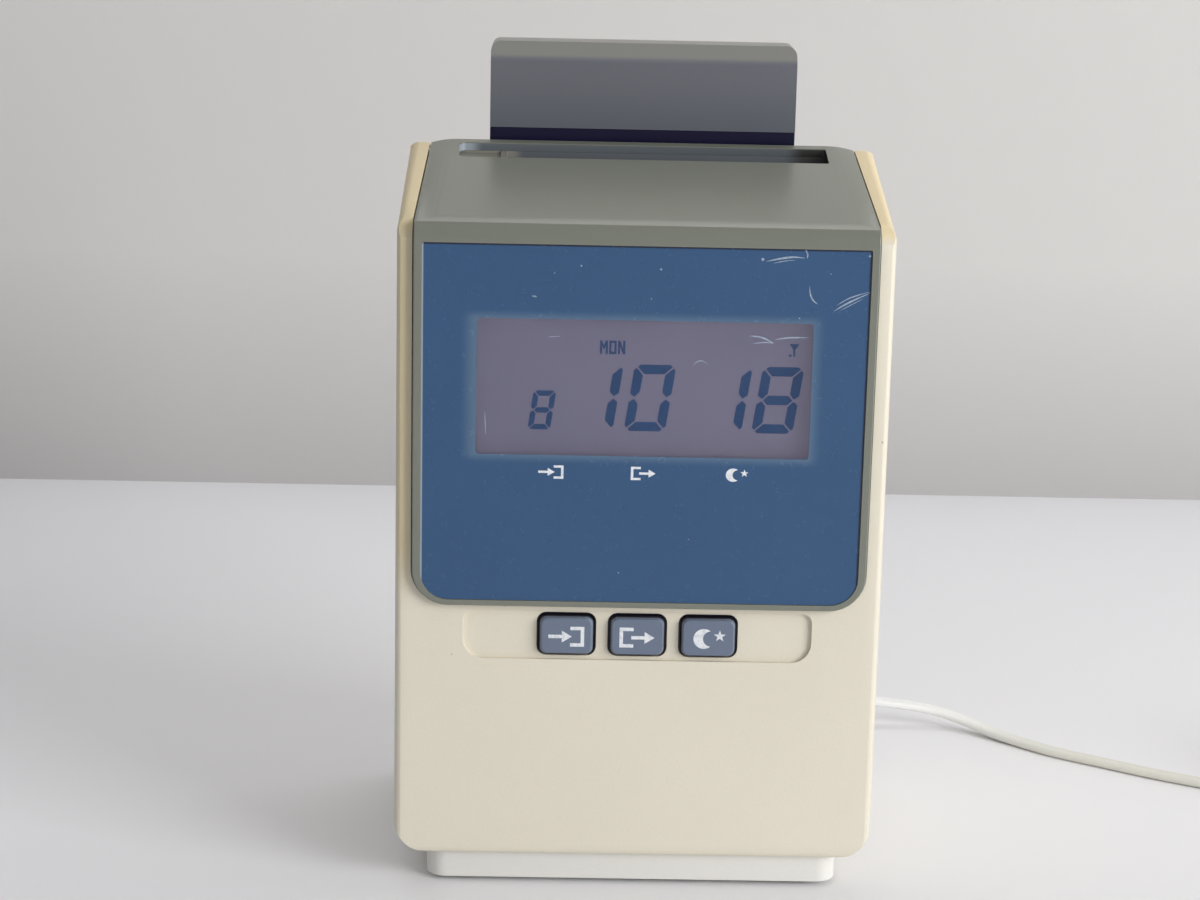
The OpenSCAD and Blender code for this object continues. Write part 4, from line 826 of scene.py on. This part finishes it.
# Creases in the film
# Where the clear top layer has lifted from the print: thin pale ridges by the upper right corner of the
# film, and a few bubbles the size of a grain of salt.
crease_clear = new_finish("crease_clear", tone(86, 112, 144), 0.18)
tinted(crease_clear, noise(on_piece(crease_clear), 1100, 3), tone(196, 206, 214))
crease_depth, crease_proud = 0.06, 0.04
film_thick = 0.25


def crease(mesh, points, width, deep=0):
    """A thin ridge through points in X and Z, tapered to both ends, and so deep under the film's face."""
    line = [p.xz for p in smoothed([(x, 0, z) for x, z in points], 5)]
    last = len(line) - 1
    left, right = [], []
    for i, p in enumerate(line):
        way = (line[min(i + 1, last)] - line[max(i - 1, 0)]).normalized()
        half = width / 2 * sin(pi * (i + 0.4) / (last + 0.8))
        left.append((p.x - half * way.y, p.y + half * way.x))
        right.append((p.x + half * way.y, p.y - half * way.x))
    flat_shape(mesh, right + left[::-1], crease_depth, Matrix.Translation((0, deep, 0)))


mesh = bmesh.new()
crease(mesh, [(33.5, 190.7), (37, 191.5), (41, 192.1), (44.5, 191.9)], 0.55)
crease(mesh, [(35.5, 190.2), (38.5, 190.9), (42, 191.3)], 0.22)
crease(mesh, [(44.6, 194.3), (45.2, 192.9), (45.1, 191.8)], 0.4)
crease(mesh, [(46.1, 184), (46.4, 181.6), (47.3, 179.8), (48.7, 178.7)], 0.42)
crease(mesh, [(53.2, 176.8), (56, 178.6), (59, 180.2), (63.2, 182.2)], 0.5)
crease(mesh, [(53.8, 178.4), (57, 180.4), (60, 181.6), (63.4, 182.6)], 0.3)
crease(mesh, [(55, 177), (58, 178.7), (61.5, 180.6)], 0.2)
crease(mesh, [(-32.4, 179.6), (-31.5, 179.5), (-30.9, 179.3)], 0.4)
# Scratches on the clear window, on the pane itself
crease(mesh, [(29.8, 169.2), (33.2, 168.8), (36.6, 167.2)], 0.5, film_thick)
crease(mesh, [(30.6, 167), (33.9, 167.4), (36.6, 167.2)], 0.3, film_thick)
crease(mesh, [(36.9, 168.3), (41.2, 168.9), (46.4, 169)], 0.45, film_thick)
crease(mesh, [(-45.3, 145.9), (-45.1, 142.5), (-44.9, 138.7)], 0.2, film_thick)
crease(mesh, [(13.9, 159.8), (14.4, 161), (15.6, 161.7), (17, 161.5), (18.2, 160.4)], 0.22, film_thick)
crease(mesh, [(-27.6, 167.8), (-24.1, 168.1)], 0.2, film_thick)
bubbles = [
    (32.6, 191.3, 0.45), (-18.5, 188.5, 0.25), (4, 187.9, 0.3), (1.5, 179.4, 0.2), (43.6, 174.6, 0.22),
    (62.8, 192.8, 0.3), (-26, 186.3, 0.2), (52, 187.5, 0.18), (14, 109, 0.2), (-6, 98.6, 0.22),
]
for x, z, r in bubbles:
    outline = [(x + r * cos(a * pi / 5), z + r * sin(a * pi / 5)) for a in range(10)]
    flat_shape(mesh, outline, crease_depth, Matrix.Identity(4))
bmesh.ops.transform(mesh, verts=mesh.verts,
                    matrix=millimetre @ Matrix.Translation((0, film_face - crease_proud, 0)))
printed("film_creases", mesh, crease_clear, "cover")

# Receiver
# The radio time receiver: grey front and rear shells that snap together over a dark base, which stands in
# the dock behind the ridge.
receiver_grey = plastic("receiver_grey", tone(104, 106, 113), grain=2000, clouds=0.03, gloss=0.34,
                        specks=0.25, relief=0.00002, rub=0.02)
# It is darker towards the ridge, and paler along its top: a painted highlight on the slanted top edge
spot = spots(receiver_grey)
tinted(receiver_grey, ramp(spot["Z"], 0.236, 0.216, 0.9), tone(91, 95, 103))
tinted(receiver_grey, ramp(spot["Z"], 0.2386, 0.2402), tone(130, 130, 125))
# The slanted top edge is rolled over: both of its long edges are rounded wide
shell_low, shell_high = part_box("radio_front_shell")
slant_round = 0.0021


def slant(one, two, first, second):
    """The two long edges of the slanted face at the top of the front shell."""
    slanted = first.y < -0.5 and 0.3 < first.z < 0.9
    upper = one.y < shell_low.y + 0.004 and one.z > shell_high.z - 0.006
    return slanted and upper and abs(one.x - two.x) > 0.05


front_shell = rolled(softened("radio_front_shell", 0.0006, segments=3), slant_round, slant)
dress(receiver_grey, front_shell, softened("radio_rear_shell", 0.0006, segments=3))
receiver_dark = plastic("receiver_dark", tone(18, 17, 47), grain=1500, clouds=0.05, gloss=0.38, specks=0.1,
                        relief=0.00003, rub=0.03, more={"Specular IOR Level": 0.25})
dress(receiver_dark, softened("radio_base", 0.0004))
